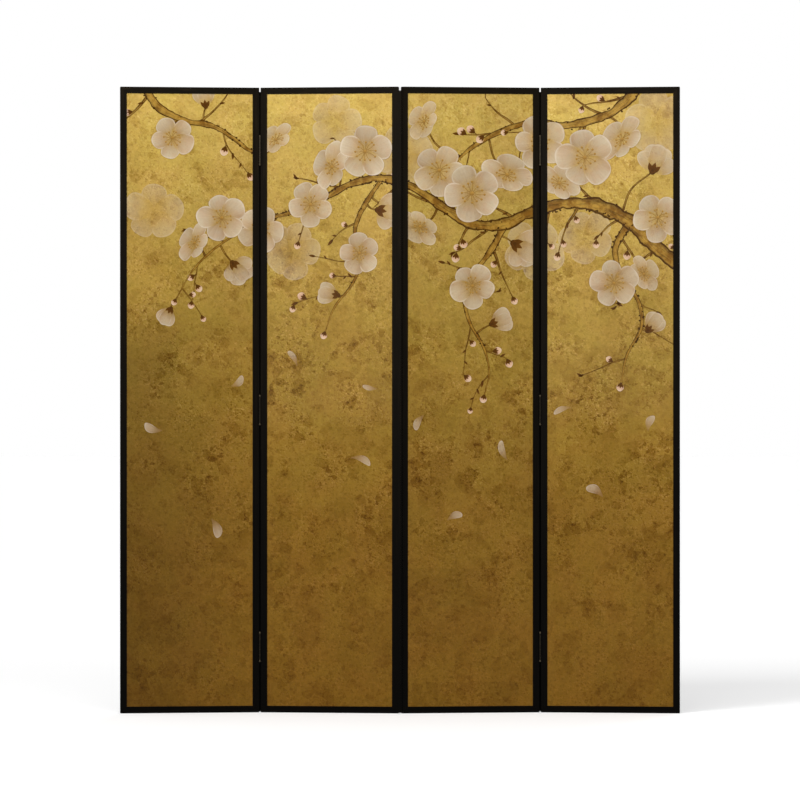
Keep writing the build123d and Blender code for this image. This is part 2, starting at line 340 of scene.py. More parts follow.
@dataclass(frozen=True)
class GoldLeaf:
    """Aged gold leaf on its clay ground, mottled and rubbed, painted paler at the head and darker at the foot
    as light and shade.

    Attributes:
        tones: its colours up the screen, by the share of the height: a painted light, pale at the head and
            dark at the foot.
        drift: how far the tones wander.
        lean: how much lighter it is painted for each metre to the right, a painted light.
        hues: what a slow drift of hue does to it.
        painted_shade: how dark the left panel is painted low down; it fades over painted_shade_across and
            painted_shade_up.
        leaf_side: the width of one square of leaf, in metres.
        leaf_tones: how far one square differs from the next.
        faults: what age has done to it, down to the cracks, with a pale line painted beside each crack as a
            highlight on its edge.
        edge: the colour of its gloss at a flat angle.
        sheen: the gloss of the gold itself, under its lacquer.
    """

    tones: tuple[tuple[float, Colour], ...] = (
        (0.0, (0.144, 0.0695, 0.0068)), (0.3, (0.160, 0.0805, 0.0100)),
        (0.62, (0.238, 0.145, 0.020)), (1.0, (0.420, 0.292, 0.073)),
    )
    drift: float = 0.16
    lean: float = 0.055
    hues: tuple[Colour, Colour] = ((0.985, 1.012, 0.95), (1.015, 0.988, 1.02))
    painted_shade: float = 0.68
    painted_shade_across: Spot = (-0.80, -0.38)
    painted_shade_up: Spot = (0.95, 1.25)
    screen_height: float = 1.8
    leaf_side: float = 0.109
    leaf_tones: Spot = (0.955, 1.045)
    grain_tones: Spot = (0.90, 1.08)
    faults: tuple[Flakes | Cracks, ...] = (
        Flakes(size=0.062, chances=(0.52, 0.68), shake=(22.0, 3.0, 0.030), wear_and_shade=(0.35, 1.0),
               tint=(0.84, 0.80, 0.70), shift=(6.0, 0, 2.0)),
        Flakes(size=0.026, chances=(0.80, 0.83), shake=(55.0, 3.0, 0.007), wear_and_shade=(0.30, 1.0),
               tint=(0.72, 0.65, 0.48)),
        Flakes(size=0.0095, chances=(0.87, 0.92), shake=(140.0, 3.0, 0.005), wear_and_shade=(0.15, 0.85),
               tint=(0.58, 0.48, 0.30), shift=(0.7, 0, 0.4), bare=True),
        Flakes(size=0.0042, chances=(0.84, 0.92), shake=(300.0, 3.0, 0.003), wear_and_shade=(0.30, 0.80),
               tint=(0.58, 0.47, 0.28), shift=(2.0, 0, 1.0), bare=True),
        Flakes(size=0.0042, chances=(0.82, 0.90), shake=(300.0, 3.0, 0.003), wear_and_shade=(0.20, 0.90),
               tint=(1.32, 1.36, 1.95), shift=(4.0, 0, 3.0)),
        Cracks(wear_and_shade=(0.10, 0.50), tint=(0.50, 0.38, 0.20), bare=True),
        # painted highlight: a pale copy of the cracks, shifted a little, as light catching their edges
        Cracks(wear_and_shade=(0.15, 0.75), tint=(1.30, 1.34, 1.80), shift=(0.0016, 0.0, 0.0016)),
    )
    metallic: float = 0.80
    roughness: float = 0.42
    edge: Colour = (0.55, 0.38, 0.12)
    sheen: float = 0.12

    def worn(self, recipe: Recipe, height: Socket) -> Socket:
        """Wears the leaf in patches, and less so near the foot and the head.

        Args:
            recipe: the tree it is made in.
            height: the height above the ground.

        Returns:
            How worn it is, from 0 to 1.
        """
        patchy = recipe.noise(recipe.place(shift=(0, 0, 2.3)), scale=8.0, detail=4.0, rough=0.64)
        patches = recipe.rise(patchy, 0.36, 0.68)
        handling_and_shade = recipe.times(patches, recipe.rise(height, 0.15, 0.75, 0.45, 1.0))
        return recipe.times(handling_and_shade, recipe.rise(height, 0.95, 1.7, 1.0, 0.40))

    def toned(self, recipe: Recipe, place: Socket) -> Socket:
        """Lays the leaf in squares, with painted light up the screen and to the right, and painted shade low
        on the left panel.

        Args:
            recipe: the tree it is made in.
            place: the coordinates.

        Returns:
            Its colour.
        """
        across, _, height = recipe.axes(place)
        drift = recipe.math("SUBTRACT", recipe.noise(place, scale=2.6, detail=3.0, rough=0.55), 0.5)
        wander = recipe.times(drift, self.drift)
        # painted light and shade: the leaf is paler up the screen and darker towards the foot, by height
        # alone
        level = recipe.math("ADD", recipe.math("DIVIDE", height, self.screen_height), wander)
        # painted light: paler towards the right, by place alone
        level = recipe.math("ADD", level, recipe.times(across, self.lean), clamp=True)
        cloud = recipe.noise(recipe.place(shift=(3.1, 0, 7.7)), scale=9.0, detail=4.0, rough=0.62)
        hue = recipe.rise(cloud, 0.36, 0.64)
        colour = recipe.tint(1.0, recipe.ramp(level, self.tones), recipe.mix(hue, *self.hues))
        # painted shade: the left-hand panel is painted darker lower down
        painted_shade = recipe.rise(across, *self.painted_shade_across, self.painted_shade, 1.0)
        colour = recipe.shade(colour, recipe.between(recipe.rise(height, *self.painted_shade_up), painted_shade, 1.0))
        corner = recipe.vector_math("ADD", place, (5.0, 5.0, 0.02))
        square = recipe.vector_math("SNAP", corner, (self.leaf_side, 20.0, self.leaf_side))
        chance = recipe.node("TexWhiteNoise", {"Vector": square}, noise_dimensions="3D").outputs["Value"]
        return recipe.shade(colour, recipe.between(chance, *self.leaf_tones))

    def ground(self) -> bpy.types.NodeTree:
        """Makes the leaf with its faults.

        Returns:
            The node group that gives its colour and its relief at any place.
        """
        tree = bpy.data.node_groups.new("gold_ground", "ShaderNodeTree")
        for name, kind in (("Colour", "NodeSocketColor"), ("Grain", "NodeSocketFloat")):
            tree.interface.new_socket(name=name, in_out="OUTPUT", socket_type=kind)
        recipe = Recipe(tree)
        place = recipe.place()
        wear_and_shade = self.worn(recipe, recipe.height())
        grain = recipe.noise(place, scale=95.0, detail=5.0, rough=0.68)
        colour = recipe.shade(self.toned(recipe, place),
                              recipe.between(recipe.rise(grain, 0.3, 0.7), *self.grain_tones))
        bare: object = 0.0
        for fault in self.faults:
            share = recipe.times(fault.pattern(recipe), recipe.between(wear_and_shade, *fault.wear_and_shade))
            colour = recipe.tint(share, colour, fault.tint)
            if fault.bare:
                bare = recipe.math("MAXIMUM", bare, share)
        relief = recipe.math("ADD", recipe.times(grain, 0.7), recipe.times(bare, 0.3))
        output = tree.nodes.new("NodeGroupOutput")
        recipe.feed(output.inputs["Colour"], colour)
        recipe.feed(output.inputs["Grain"], relief)
        return tree


class Gilding:
    """Gold leaf under its clear lacquer, as the boards show it and as the ground for the paints."""

    def __init__(self, leaf: GoldLeaf, coat: ClearCoat) -> None:
        """Makes the leaf's node group, which all the paints share."""
        self.leaf, self.coat = leaf, coat
        self.group = leaf.ground()

    def shown(self, recipe: Recipe) -> tuple[Socket, Socket]:
        """Returns the leaf's colour and relief in a tree."""
        gold = recipe.node("Group", node_tree=self.group)
        return gold.outputs["Colour"], gold.outputs["Grain"]

    def material(self) -> Material:
        """Gilds the boards.

        Returns:
            The material.
        """
        made, recipe = new_material("aged_gold_leaf")
        colour, relief = self.shown(recipe)
        rough = self.leaf.roughness
        recipe.principled({
            "Base Color": colour,
            "Roughness": recipe.between(relief, rough - 0.12, rough + 0.16),
            "Normal": recipe.bump(relief, strength=0.10, reach=0.0006),
            "Metallic": self.leaf.metallic,
            "Specular Tint": self.leaf.edge,
            **self.coat.inputs(self.leaf.sheen),
        })
        return made

    def paint_over(self, recipe: Recipe, colour: Socket, share: Socket, body: Socket, roughness: float,
                   relief: Socket) -> None:
        """Ends a tree in paint that lets some of the gold show.

        Args:
            recipe: the tree.
            colour: the gold's colour.
            share: how much of the gold the paint hides.
            body: the paint's colour.
            roughness: the paint's roughness.
            relief: the relief of its surface.
        """
        recipe.principled({
            "Base Color": recipe.mix(share, colour, body),
            "Metallic": recipe.between(share, self.leaf.metallic, 0.0),
            "Roughness": recipe.between(share, self.leaf.roughness, roughness),
            "Normal": recipe.bump(relief, strength=0.08, reach=0.0005),
            **self.coat.inputs(),
        })


@dataclass(frozen=True)
class PetalPaint:
    """Shell-white paint on the gold: opaque at a petal's rim and thin near its base."""

    gilding: Gilding
    name: str = "petal_white"
    base: Colour = (0.275, 0.155, 0.064)
    middle: Colour = (0.375, 0.280, 0.176)
    tip: Colour = (0.508, 0.437, 0.323)
    rim: Colour = (0.595, 0.520, 0.415)
    outline: Colour = (0.24, 0.135, 0.055)
    blush: Colour = (1.0, 0.86, 0.80)
    folded: Colour = (0.74, 0.63, 0.54)
    tones: tuple[Colour, Colour] = ((0.95, 0.90, 0.88), (1.03, 1.01, 0.99))
    roughness: float = 0.55

    def veined(self, recipe: Recipe, across: Socket, along: Socket, chance: Socket) -> Socket:
        """Colours a petal, with veins that fan out from its foot.

        Args:
            recipe: the tree it is made in.
            across: the place across the petal.
            along: the place along it.
            chance: the petal's own chance.

        Returns:
            The colour.
        """
        body = recipe.ramp(along, ((0.0, self.base), (0.42, self.middle), (1.0, self.tip)))
        spread = recipe.math("DIVIDE", recipe.math("SUBTRACT", across, 0.5), recipe.math("ADD", along, 0.25))
        fan = recipe.node("CombineXYZ", {0: recipe.times(spread, 16.0), 1: recipe.times(along, 1.4),
                                         2: recipe.times(chance, 40.0)})
        return recipe.shade(body, recipe.between(recipe.noise(fan.outputs[0], scale=1.0), 0.84, 1.12))

    def material(self) -> Material:
        """Makes the paint. The wash attribute holds its strength, its shade and a chance tone.

        Returns:
            The material.
        """
        made, recipe = new_material(self.name)
        gold, relief = self.gilding.shown(recipe)
        across, along, _ = recipe.strip()
        wash = recipe.node("Attribute", attribute_name=WASH_NAME)
        strength, shade, chance = recipe.node("SeparateColor", {0: wash.outputs["Color"]}).outputs
        to_edge = recipe.math("MAXIMUM", recipe.off_centre(across), recipe.off_centre(along))
        edge = recipe.times(recipe.rise(to_edge, 0.40, 0.48), recipe.rise(along, 0.15, 0.6))

        body = self.veined(recipe, across, along, chance)
        blush = recipe.rise(recipe.noise(recipe.place(), scale=42.0, detail=3.0), 0.40, 0.66)
        body = recipe.tint(recipe.times(blush, 0.55), body, self.blush)
        side = recipe.between(recipe.rise(chance, 0.4, 0.6), across, recipe.math("SUBTRACT", 1.0, across))
        body = recipe.tint(recipe.rise(side, 0.0, 0.42, 0.62, 0.0), body, self.folded)
        body = recipe.mix(recipe.times(edge, 0.55), body, self.rim)
        body = recipe.mix(recipe.times(recipe.rise(to_edge, 0.484, 0.492), 0.42), body, self.outline)
        body = recipe.shade(recipe.tint(1.0, body, recipe.mix(chance, *self.tones)), shade)

        thick = recipe.rise(along, 0.0, 0.66, 0.42, 0.97)
        opaque = recipe.times(thick, recipe.rise(relief, 0.25, 0.7, 1.0, 0.82))
        share = recipe.times(recipe.math("MAXIMUM", opaque, edge), strength, clamp=True)
        self.gilding.paint_over(recipe, gold, share, body, self.roughness, relief)
        return made


@dataclass(frozen=True)
class BarkPaint:
    """Brown ink on the gold: a thin wash between two dark brushed edges, with dry strokes along it."""

    gilding: Gilding
    name: str = "bark_ink"
    wash: Colour = (0.150, 0.060, 0.0045)
    pale: Colour = (0.325, 0.172, 0.022)
    ink: Colour = (0.040, 0.0135, 0.0006)
    opacity: float = 0.90
    edge: float = 0.60
    edge_width: float = 0.22
    roughness: float = 0.5

    def material(self) -> Material:
        """Makes the ink.

        Returns:
            The material.
        """
        made, recipe = new_material(self.name)
        gold, _ = self.gilding.shown(recipe)
        across, along, _ = recipe.strip()
        patchy = recipe.rise(recipe.noise(recipe.place(), scale=34.0, detail=4.0, rough=0.62), 0.36, 0.64)
        dry = recipe.node("CombineXYZ", {0: recipe.times(across, 7.0), 1: recipe.times(along, 1.6)})
        bristles = recipe.noise(dry.outputs[0], scale=1.0, detail=4.0, rough=0.65, warp=0.3)
        strokes = recipe.rise(bristles, 0.50, 0.62)
        uneven = recipe.math("SUBTRACT", recipe.noise(recipe.place(), scale=55.0, detail=3.0, rough=0.6), 0.5)
        ragged = recipe.math("ADD", recipe.times(recipe.off_centre(across), 2.0), recipe.times(uneven, 0.30))
        contour = recipe.rise(ragged, self.edge, self.edge + self.edge_width)
        shadow = recipe.rise(across, 0.45, 1.0, 0.0, 0.55)
        body = recipe.mix(patchy, self.wash, self.pale)
        for share in (recipe.times(strokes, 0.70), shadow, recipe.times(contour, 0.9)):
            body = recipe.mix(share, body, self.ink)
        opaque = recipe.math("MAXIMUM", recipe.between(patchy, self.opacity, self.opacity - 0.22), contour)
        self.gilding.paint_over(recipe, gold, opaque, body, self.roughness, strokes)
        return made


@dataclass(frozen=True)
class DeepPaint:
    """A small, opaque dab of paint with a darker side, for calyxes, stamens and moss."""

    gilding: Gilding
    name: str
    light: Colour
    dark: Colour
    roughness: Spot = (0.4, 0.6)

    def material(self) -> Material:
        """Makes the paint of the dab.

        Returns:
            The material.
        """
        made, recipe = new_material(self.name)
        uneven = recipe.noise(recipe.place(), scale=160.0, detail=3.0, rough=0.6)
        along = recipe.strip()["Y"]
        share = recipe.math("ADD", recipe.times(along, 0.7), recipe.times(uneven, 0.5), clamp=True)
        recipe.principled({
            "Base Color": recipe.mix(share, self.dark, self.light),
            "Roughness": recipe.between(uneven, *self.roughness),
            **self.gilding.coat.inputs(),
        })
        return made


@dataclass(frozen=True)
class DarkVeneer:
    """Dark stained straight-grained veneer, satin, on the back."""

    ground: Colour = (0.029, 0.0185, 0.0105)
    vessel: Colour = (0.012, 0.008, 0.005)
    warm: Colour = (0.050, 0.031, 0.0165)
    band_grain: Knot = (26.0, 26.0, 1.1)
    pore_grain: Knot = (420.0, 420.0, 9.0)
    figure_grain: Knot = (5.0, 5.0, 0.6)
    roughness: Spot = (0.34, 0.54)
    specular: float = 0.14

    def material(self) -> Material:
        """Makes the veneer, its grain upright.

        Returns:
            The material.
        """
        made, recipe = new_material("dark_stained_veneer")
        bands = recipe.noise(recipe.place(self.band_grain), scale=1.0, detail=4.0, rough=0.55, warp=0.5)
        pores = recipe.noise(recipe.place(self.pore_grain), scale=1.0)
        figure = recipe.noise(recipe.place(self.figure_grain, (2.0, 0, 1.0)), scale=1.0, detail=3.0,
                              rough=0.5, warp=1.2)
        body = recipe.mix(recipe.rise(bands, 0.35, 0.65), self.ground, self.warm)
        body = recipe.mix(recipe.rise(figure, 0.35, 0.7, 0.0, 0.55), body, self.ground)
        recipe.principled({
            "Base Color": recipe.mix(recipe.rise(pores, 0.56, 0.70, 0.0, 0.7), body, self.vessel),
            "Roughness": recipe.between(bands, *self.roughness),
            "Normal": recipe.bump(pores, strength=0.12, reach=0.0004),
            "Specular IOR Level": self.specular,
        })
        return made


@dataclass(frozen=True)
class Softwood:
    """Bare softwood. It is one shade with the grain in its gloss, because the boards close it in."""

    shade: Colour = (0.50, 0.335, 0.185)
    grain: Knot = (160.0, 160.0, 4.0)
    roughness: Spot = (0.6, 0.85)

    def material(self) -> Material:
        """Makes the softwood.

        Returns:
            The material.
        """
        made, recipe = new_material("bare_softwood")
        grain = recipe.noise(recipe.place(self.grain), scale=1.0, detail=3.0, rough=0.6, warp=0.3)
        recipe.principled({"Base Color": self.shade, "Roughness": recipe.between(grain, *self.roughness)})
        return made


@dataclass(frozen=True)
class BlackenedBronze:
    """Blackened bronze, pitted, and rubbed back to dull metal where it is patterned."""

    name: str
    rubbed: Colour = (0.085, 0.066, 0.040)
    dark: Colour = (0.026, 0.021, 0.014)
    roughness: Spot = (0.48, 0.28)
    plain_roughness: float = 0.46
    rubbing: float = 0.55
    # painted shade: how dark the patterned metal is painted low on the screen and high on it
    wear_and_shade: Spot = (0.35, 1.05)
    metallic: float = 0.95
    patterned: bool = True

    def material(self) -> Material:
        """Makes the metal. Small fittings keep one shade and gloss and vary only in their pitting. Patterned
        metal is also painted darker lower down, a painted shade.

        Returns:
            The material.
        """
        made, recipe = new_material(self.name)
        colour, gloss = self.rubbed, self.plain_roughness
        if self.patterned:
            worn = recipe.noise(recipe.place(), scale=190.0, detail=4.0, rough=0.62)
            rub = recipe.rise(worn, 0.48, 0.70, 0.0, self.rubbing)
            # painted shade: darker lower down on the screen, by height alone
            handling_and_shade = recipe.rise(recipe.height(), 0.9, 1.55, *self.wear_and_shade)
            colour = recipe.shade(recipe.mix(rub, self.dark, self.rubbed), handling_and_shade)
            gloss = recipe.between(rub, *self.roughness)
        pits = recipe.noise(recipe.place(), scale=420.0, detail=3.0)
        recipe.principled({
            "Base Color": colour,
            "Roughness": gloss,
            "Normal": recipe.bump(pits, strength=0.08, reach=0.0002),
            "Metallic": self.metallic,
        })
        return made


def dress(node: str, material: Material) -> None:
    """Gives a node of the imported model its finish.

    Args:
        node: the node's name.
        material: its finish.
    """
    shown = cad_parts[node]
    if not shown.material_slots:
        shown.data.materials.append(None)
    for slot in shown.material_slots:
        slot.link = "OBJECT"
        slot.material = material
    log.info("dressed %s in %s", node, material.name)


def stand(name: str, mesh: bmesh.types.BMesh, material: Material) -> bpy.types.Object:
    """Makes an object of a finished mesh, at the origin.

    Args:
        name: its name.
        mesh: its mesh, which is used up.
        material: its finish.

    Returns:
        The object.
    """
    data = bpy.data.meshes.new(name)
    mesh.to_mesh(data)
    mesh.free()
    data.materials.append(material)
    made = bpy.data.objects.new(name, data)
    bpy.context.scene.collection.objects.link(made)
    return made


@dataclass(frozen=True)
class BoardPlace:
    """Where a panel's gold board lies, as a place for the painting. Its sizes are in millimetres."""

    number: int
    corner: Vector
    turn: float
    pitch: float = 403.0
    board_inset: float = 13.3
    frame_face: float = 19.0
    screen_height: float = 1800.0
    panel_width: float = 400.0

    @classmethod
    def measured(cls, number: int, fold: float) -> "BoardPlace":
        """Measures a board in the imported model.

        Args:
            number: the panel's number, from the left.
            fold: how far each panel is turned off the screen's plane.

        Returns:
            The board's place.
        """
        turn = fold if number % 2 else -fold
        back = Matrix.Rotation(-turn, 3, "Z")
        corners = [back @ vertex.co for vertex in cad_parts[f"panel_{number}_gilt_board"].data.vertices]
        low = Vector(min(corner[axis] for corner in corners) for axis in range(3))
        return cls(number, Matrix.Rotation(turn, 3, "Z") @ low, turn)

    @property
    def left(self) -> float:
        """The unfolded screen's millimetre at this panel's left edge."""
        return (self.number - 1) * self.pitch

    @property
    def window(self) -> tuple[float, float, float, float]:
        """The gold that shows: left, right, bottom and top, in millimetres of the unfolded screen."""
        return (self.left + self.frame_face, self.left + self.panel_width - self.frame_face,
                self.frame_face, self.screen_height - self.frame_face)

    def carry(self) -> Matrix:
        """Finds where the painting goes.

        Returns:
            The matrix from (across, above the gold, up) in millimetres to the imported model's frame.
        """
        turned = Matrix.Rotation(self.turn, 4, "Z")
        start = turned.inverted() @ self.corner
        local = Matrix(((1, 0, 0, 0), (0, -1, 0, 0), (0, 0, 1, 0), (0, 0, 0, 1)))
        shift = Matrix.Translation((start.x - (self.left + self.board_inset) * MILLIMETRE, start.y, 0.0))
        return turned @ shift @ Matrix.Scale(MILLIMETRE, 4) @ local


def smooth_line(knots: Sequence[Knot], spacing: float) -> list[Vector]:
    """Runs a smooth line through knots, each with a width as its third number.

    Args:
        knots: the knots.
        spacing: about how far apart the points are, in millimetres.

    Returns:
        The points on the line.
    """
    points = [Vector(knot) for knot in knots]
    points = [points[0] * 2 - points[1], *points, points[-1] * 2 - points[-2]]
    line: list[Vector] = []
    for before, start, end, after in zip(points, points[1:], points[2:], points[3:]):
        steps = max(2, round((end - start).length / spacing))
        for step in range(steps):
            t = step / steps
            line.append(0.5 * (2 * start + (end - before) * t
                               + (2 * before - 5 * start + 4 * end - after) * t * t
                               + (3 * start - before - 3 * end + after) * t ** 3))
    line.append(points[-2])
    return line


def reach_from(spot: Point, heading: float, reach: float) -> Spot:
    """The spot at a distance from another, in a direction."""
    return spot[0] + math.cos(heading) * reach, spot[1] + math.sin(heading) * reach


def rounded(a: float, b: float) -> Spot:
    """Carries a place on a square grid to a disc."""
    return a * math.sqrt(1 - b * b / 2), b * math.sqrt(1 - a * a / 2)


class PaintLayer:
    """One kind of paint on one board, gathered as flat shapes and then given its thickness.

    Attributes:
        root: how far the paint reaches into the board, in millimetres above it.
        waves: how many lobes a petal's unevenness has, and waviness how deep they are.
        petal_faces: the faces each way of a petal.
        gnarl_scale: how fine the unevenness of a stroke's sides is.
        pattern_length: the millimetres of a stroke over which its pattern runs once.
    """

    root = -0.1
    waves = (2, 3, 5)
    waviness = (0.008, 0.028)
    petal_faces = 7
    gnarl_scale = 0.021
    pattern_length = 100.0

    def __init__(self, board: BoardPlace) -> None:
        """Starts an empty layer.

        Args:
            board: the board it is painted on.
        """
        self.board = board
        self.mesh = bmesh.new()
        self.uv = self.mesh.loops.layers.uv.new(UV_NAME)
        self.wash = self.mesh.loops.layers.float_color.new(WASH_NAME)

    def near(self, across: float, up: float, reach: float) -> bool:
        """Whether a shape that spreads so far from its middle can show on this board."""
        left, right, low, high = self.board.window
        return left - reach < across < right + reach and low - reach < up < high + reach

    def patch(self, columns: int, rows: int, shape: Callable[[float, float], Spot], lift: float,
              wash: Colour = PLAIN_WASH, length: float = 1.0) -> None:
        """Lays a grid and shapes it.

        Args:
            columns: faces across.
            rows: faces along.
            shape: from a place on the grid, each way from -1 to 1, to a place on the unfolded screen.
            lift: how thick the paint is there.
            wash: what the wash attribute holds.
            length: how much of the pattern runs along it.
        """
        made = bmesh.ops.create_grid(self.mesh, x_segments=columns, y_segments=rows, size=0.5, calc_uvs=True)
        for face in {face for vertex in made["verts"] for face in vertex.link_faces}:
            for loop in face.loops:
                loop[self.wash] = (*wash, 1.0)
                loop[self.uv].uv.y *= length
        for vertex in made["verts"]:
            across, up = shape(vertex.co.x * 2, vertex.co.y * 2)
            vertex.co = (across, lift, up)

    def petal(self, foot: Point, size: Spot, turn: float, lift: float, wash: Colour, rng: random.Random,
              squash: Matrix = FACE_ON, waist: float = 0.5, curl: float = 0.0) -> None:
        """Paints a round petal from its foot outwards.

        Args:
            foot: where it is held.
            size: its width and its length.
            turn: its direction, from straight up, towards the left.
            lift: the paint's thickness.
            wash: its strength, shade and chance tone.
            rng: where its unevenness comes from.
            squash: what the flower's view does to it.
            waist: how narrow it is at its foot.
            curl: how far it bends to one side, as a share of its length.
        """
        turned = Matrix.Rotation(turn, 2)
        waves = [(k, rng.uniform(*self.waviness), rng.uniform(0, math.tau)) for k in self.waves]

        def shape(a: float, b: float) -> Spot:
            """Carries a place on the grid to the unfolded screen.

            Args:
                a: its place across, from -1 to 1.
                b: its place along, from -1 to 1.

            Returns:
                Its place on the screen.
            """
            x, y = rounded(a, b)
            angle, reach = math.atan2(y, x), math.hypot(x, y)
            wave = 1 + reach ** 3 * sum(depth * math.sin(k * angle + phase) for k, depth, phase in waves)
            x, y = x * wave, y * wave
            x *= 1 - (1 - waist) * max(0.0, (1 - y) / 2) ** 1.4
            spot = turned @ Vector((x * size[0] / 2 + curl * y * y * size[1] / 2, (y + 1) * size[1] / 2))
            spot = squash @ spot
            return foot[0] + spot.x, foot[1] + spot.y

        self.patch(self.petal_faces, self.petal_faces, shape, lift, wash)

    def stroke(self, knots: Sequence[Knot], lift: float, spacing: float, columns: int,
               gnarl: float = 0.0) -> None:
        """Paints a stroke along a smooth line.

        Args:
            knots: the line's knots, each with the stroke's width.
            lift: the paint's thickness.
            spacing: how far apart its cross sections are.
            columns: faces across it.
            gnarl: how uneven its sides are, as a share of its width.
        """
        line = smooth_line(knots, spacing)
        rows = len(line) - 1
        length = sum((b.xy - a.xy).length for a, b in zip(line, line[1:]))

        def shape(a: float, b: float) -> Spot:
            """Carries a place on the grid to the unfolded screen.

            Args:
                a: its place across, from -1 to 1.
                b: its place along, from -1 to 1.

            Returns:
                Its place on the screen.
            """
            row = min(rows, max(0, round((b + 1) / 2 * rows)))
            point = line[row]
            ahead = (line[min(row + 1, rows)].xy - line[max(row - 1, 0)].xy).normalized()
            side = Vector((ahead.y, -ahead.x))
            uneven = 0.0
            if gnarl and abs(a) > 0.01:
                at = Vector((point.x * self.gnarl_scale, point.y * self.gnarl_scale, math.copysign(9.0, a)))
                uneven = gnarl * (noise.noise(at) + 0.6 * noise.noise(at * 3.1))
            spot = point.xy + side * (a * point.z / 2 * (1 + uneven))
            return spot.x, spot.y

        self.patch(columns, rows, shape, lift, length=length / self.pattern_length)

    def dab(self, middle: Point, radius: float, lift: float, stretch: float = 1.0, turn: float = 0.0,
            faces: int = 3, point: float = 0.0, wash: Colour = PLAIN_WASH) -> None:
        """Paints a round or pointed dab.

        Args:
            middle: its middle.
            radius: half its width.
            lift: the paint's thickness.
            stretch: its length as a share of its width.
            turn: its direction, from straight up, towards the left.
            faces: faces each way.
            point: how pointed its far end is.
            wash: what the wash attribute holds.
        """
        turned = Matrix.Rotation(turn, 2)

        def shape(a: float, b: float) -> Spot:
            """Carries a place on the grid to the unfolded screen.

            Args:
                a: its place across, from -1 to 1.
                b: its place along, from -1 to 1.

            Returns:
                Its place on the screen.
            """
            x, y = rounded(a, b)
            x *= 1 - point * max(0.0, y) ** 1.5
            spot = turned @ Vector((x * radius, y * radius * stretch))
            return middle[0] + spot.x, middle[1] + spot.y

        self.patch(faces, faces, shape, lift, wash)

    def finish(self, name: str, material: Material) -> None:
        """Trims the layer to the gold that shows, thickens it and puts it on its board, if any of it shows.

        Args:
            name: the piece's name.
            material: its paint.
        """
        bmesh.ops.remove_doubles(self.mesh, verts=self.mesh.verts[:], dist=0.0005)
        left, right, low, high = self.board.window
        for point, away in (((left, 0, 0), (-1, 0, 0)), ((right, 0, 0), (1, 0, 0)),
                            ((0, 0, low), (0, 0, -1)), ((0, 0, high), (0, 0, 1))):
            whole = self.mesh.verts[:] + self.mesh.edges[:] + self.mesh.faces[:]
            bmesh.ops.bisect_plane(self.mesh, geom=whole, dist=0.001, plane_co=point, plane_no=away,
                                   clear_outer=True)
        if not self.mesh.faces:
            self.mesh.free()
            return
        sunk = bmesh.ops.extrude_face_region(self.mesh, geom=self.mesh.faces[:], use_keep_orig=True)
        for part in sunk["geom"]:
            if isinstance(part, bmesh.types.BMVert):
                part.co.y = self.root
        bmesh.ops.transform(self.mesh, matrix=self.board.carry(), verts=self.mesh.verts[:])
        bmesh.ops.recalc_face_normals(self.mesh, faces=self.mesh.faces[:])
        piece = stand(name, self.mesh, material)
        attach(piece, f"panel_{self.board.number}")
        log.info("painted %s, %d faces", name, len(piece.data.polygons))


class View(Enum):
    """How a flower is seen."""

    FACE = "face"
    TURNED = "turned"
    SIDE = "side"
    OPENING = "opening"
    FADED = "faded"


@dataclass(frozen=True)
class Bough:
    """A bough's or twig's line across the unfolded screen: across, up and width at each knot."""

    line: tuple[Knot, ...]
    lift: float = 0.5


@dataclass(frozen=True)
class Bud:
    """A closed bud: where its stalk leaves the twig, its foot, its width and its heading."""

    root: Spot
    foot: Spot
    width: float
    heading: float

    def ahead(self, share: float) -> Spot:
        """The spot that is a share of its width ahead of its foot."""
        return reach_from(self.foot, self.heading, self.width * share)


@dataclass(frozen=True)
class Flower:
    """A plum flower: its middle across and up, width, turn in degrees, view and how near it is."""

    across: float
    up: float
    width: float
    turn: float
    view: View
    tier: int = 0

    @property
    def middle(self) -> Vector:
        """Its middle."""
        return Vector((self.across, self.up))

    @property
    def angle(self) -> float:
        """Its turn in radians."""
        return math.radians(self.turn)

    @property
    def cupped(self) -> bool:
        """Whether its petals stand in a calyx that shows."""
        return self.view in (View.SIDE, View.OPENING)

    @property
    def strength(self) -> float:
        """How opaque its paint is."""
        return 0.34 if self.view is View.FADED else (0.72, 0.90, 0.98)[self.tier]

    @property
    def squash(self) -> Matrix:
        """How its view flattens it.

        Returns:
            The matrix that does so.
        """
        if self.view is not View.TURNED:
            return FACE_ON
        turned = Matrix.Rotation(self.angle, 2)
        return turned @ Matrix(((1.0, 0.0), (0.0, 0.66))) @ turned.inverted()

    def hides(self, spot: Spot, margin: float) -> bool:
        """Whether it covers a spot, or comes near it.

        Args:
            spot: the spot.
            margin: how near counts.

        Returns:
            True if it does.
        """
        middle, reach = self.middle, 0.5
        if self.cupped:
            middle += Matrix.Rotation(self.angle, 2) @ Vector((0, self.width * 0.35))
            reach = 0.42
        near = (Vector(spot) - middle).length < self.width * reach + margin
        return near and self.view is not View.FADED


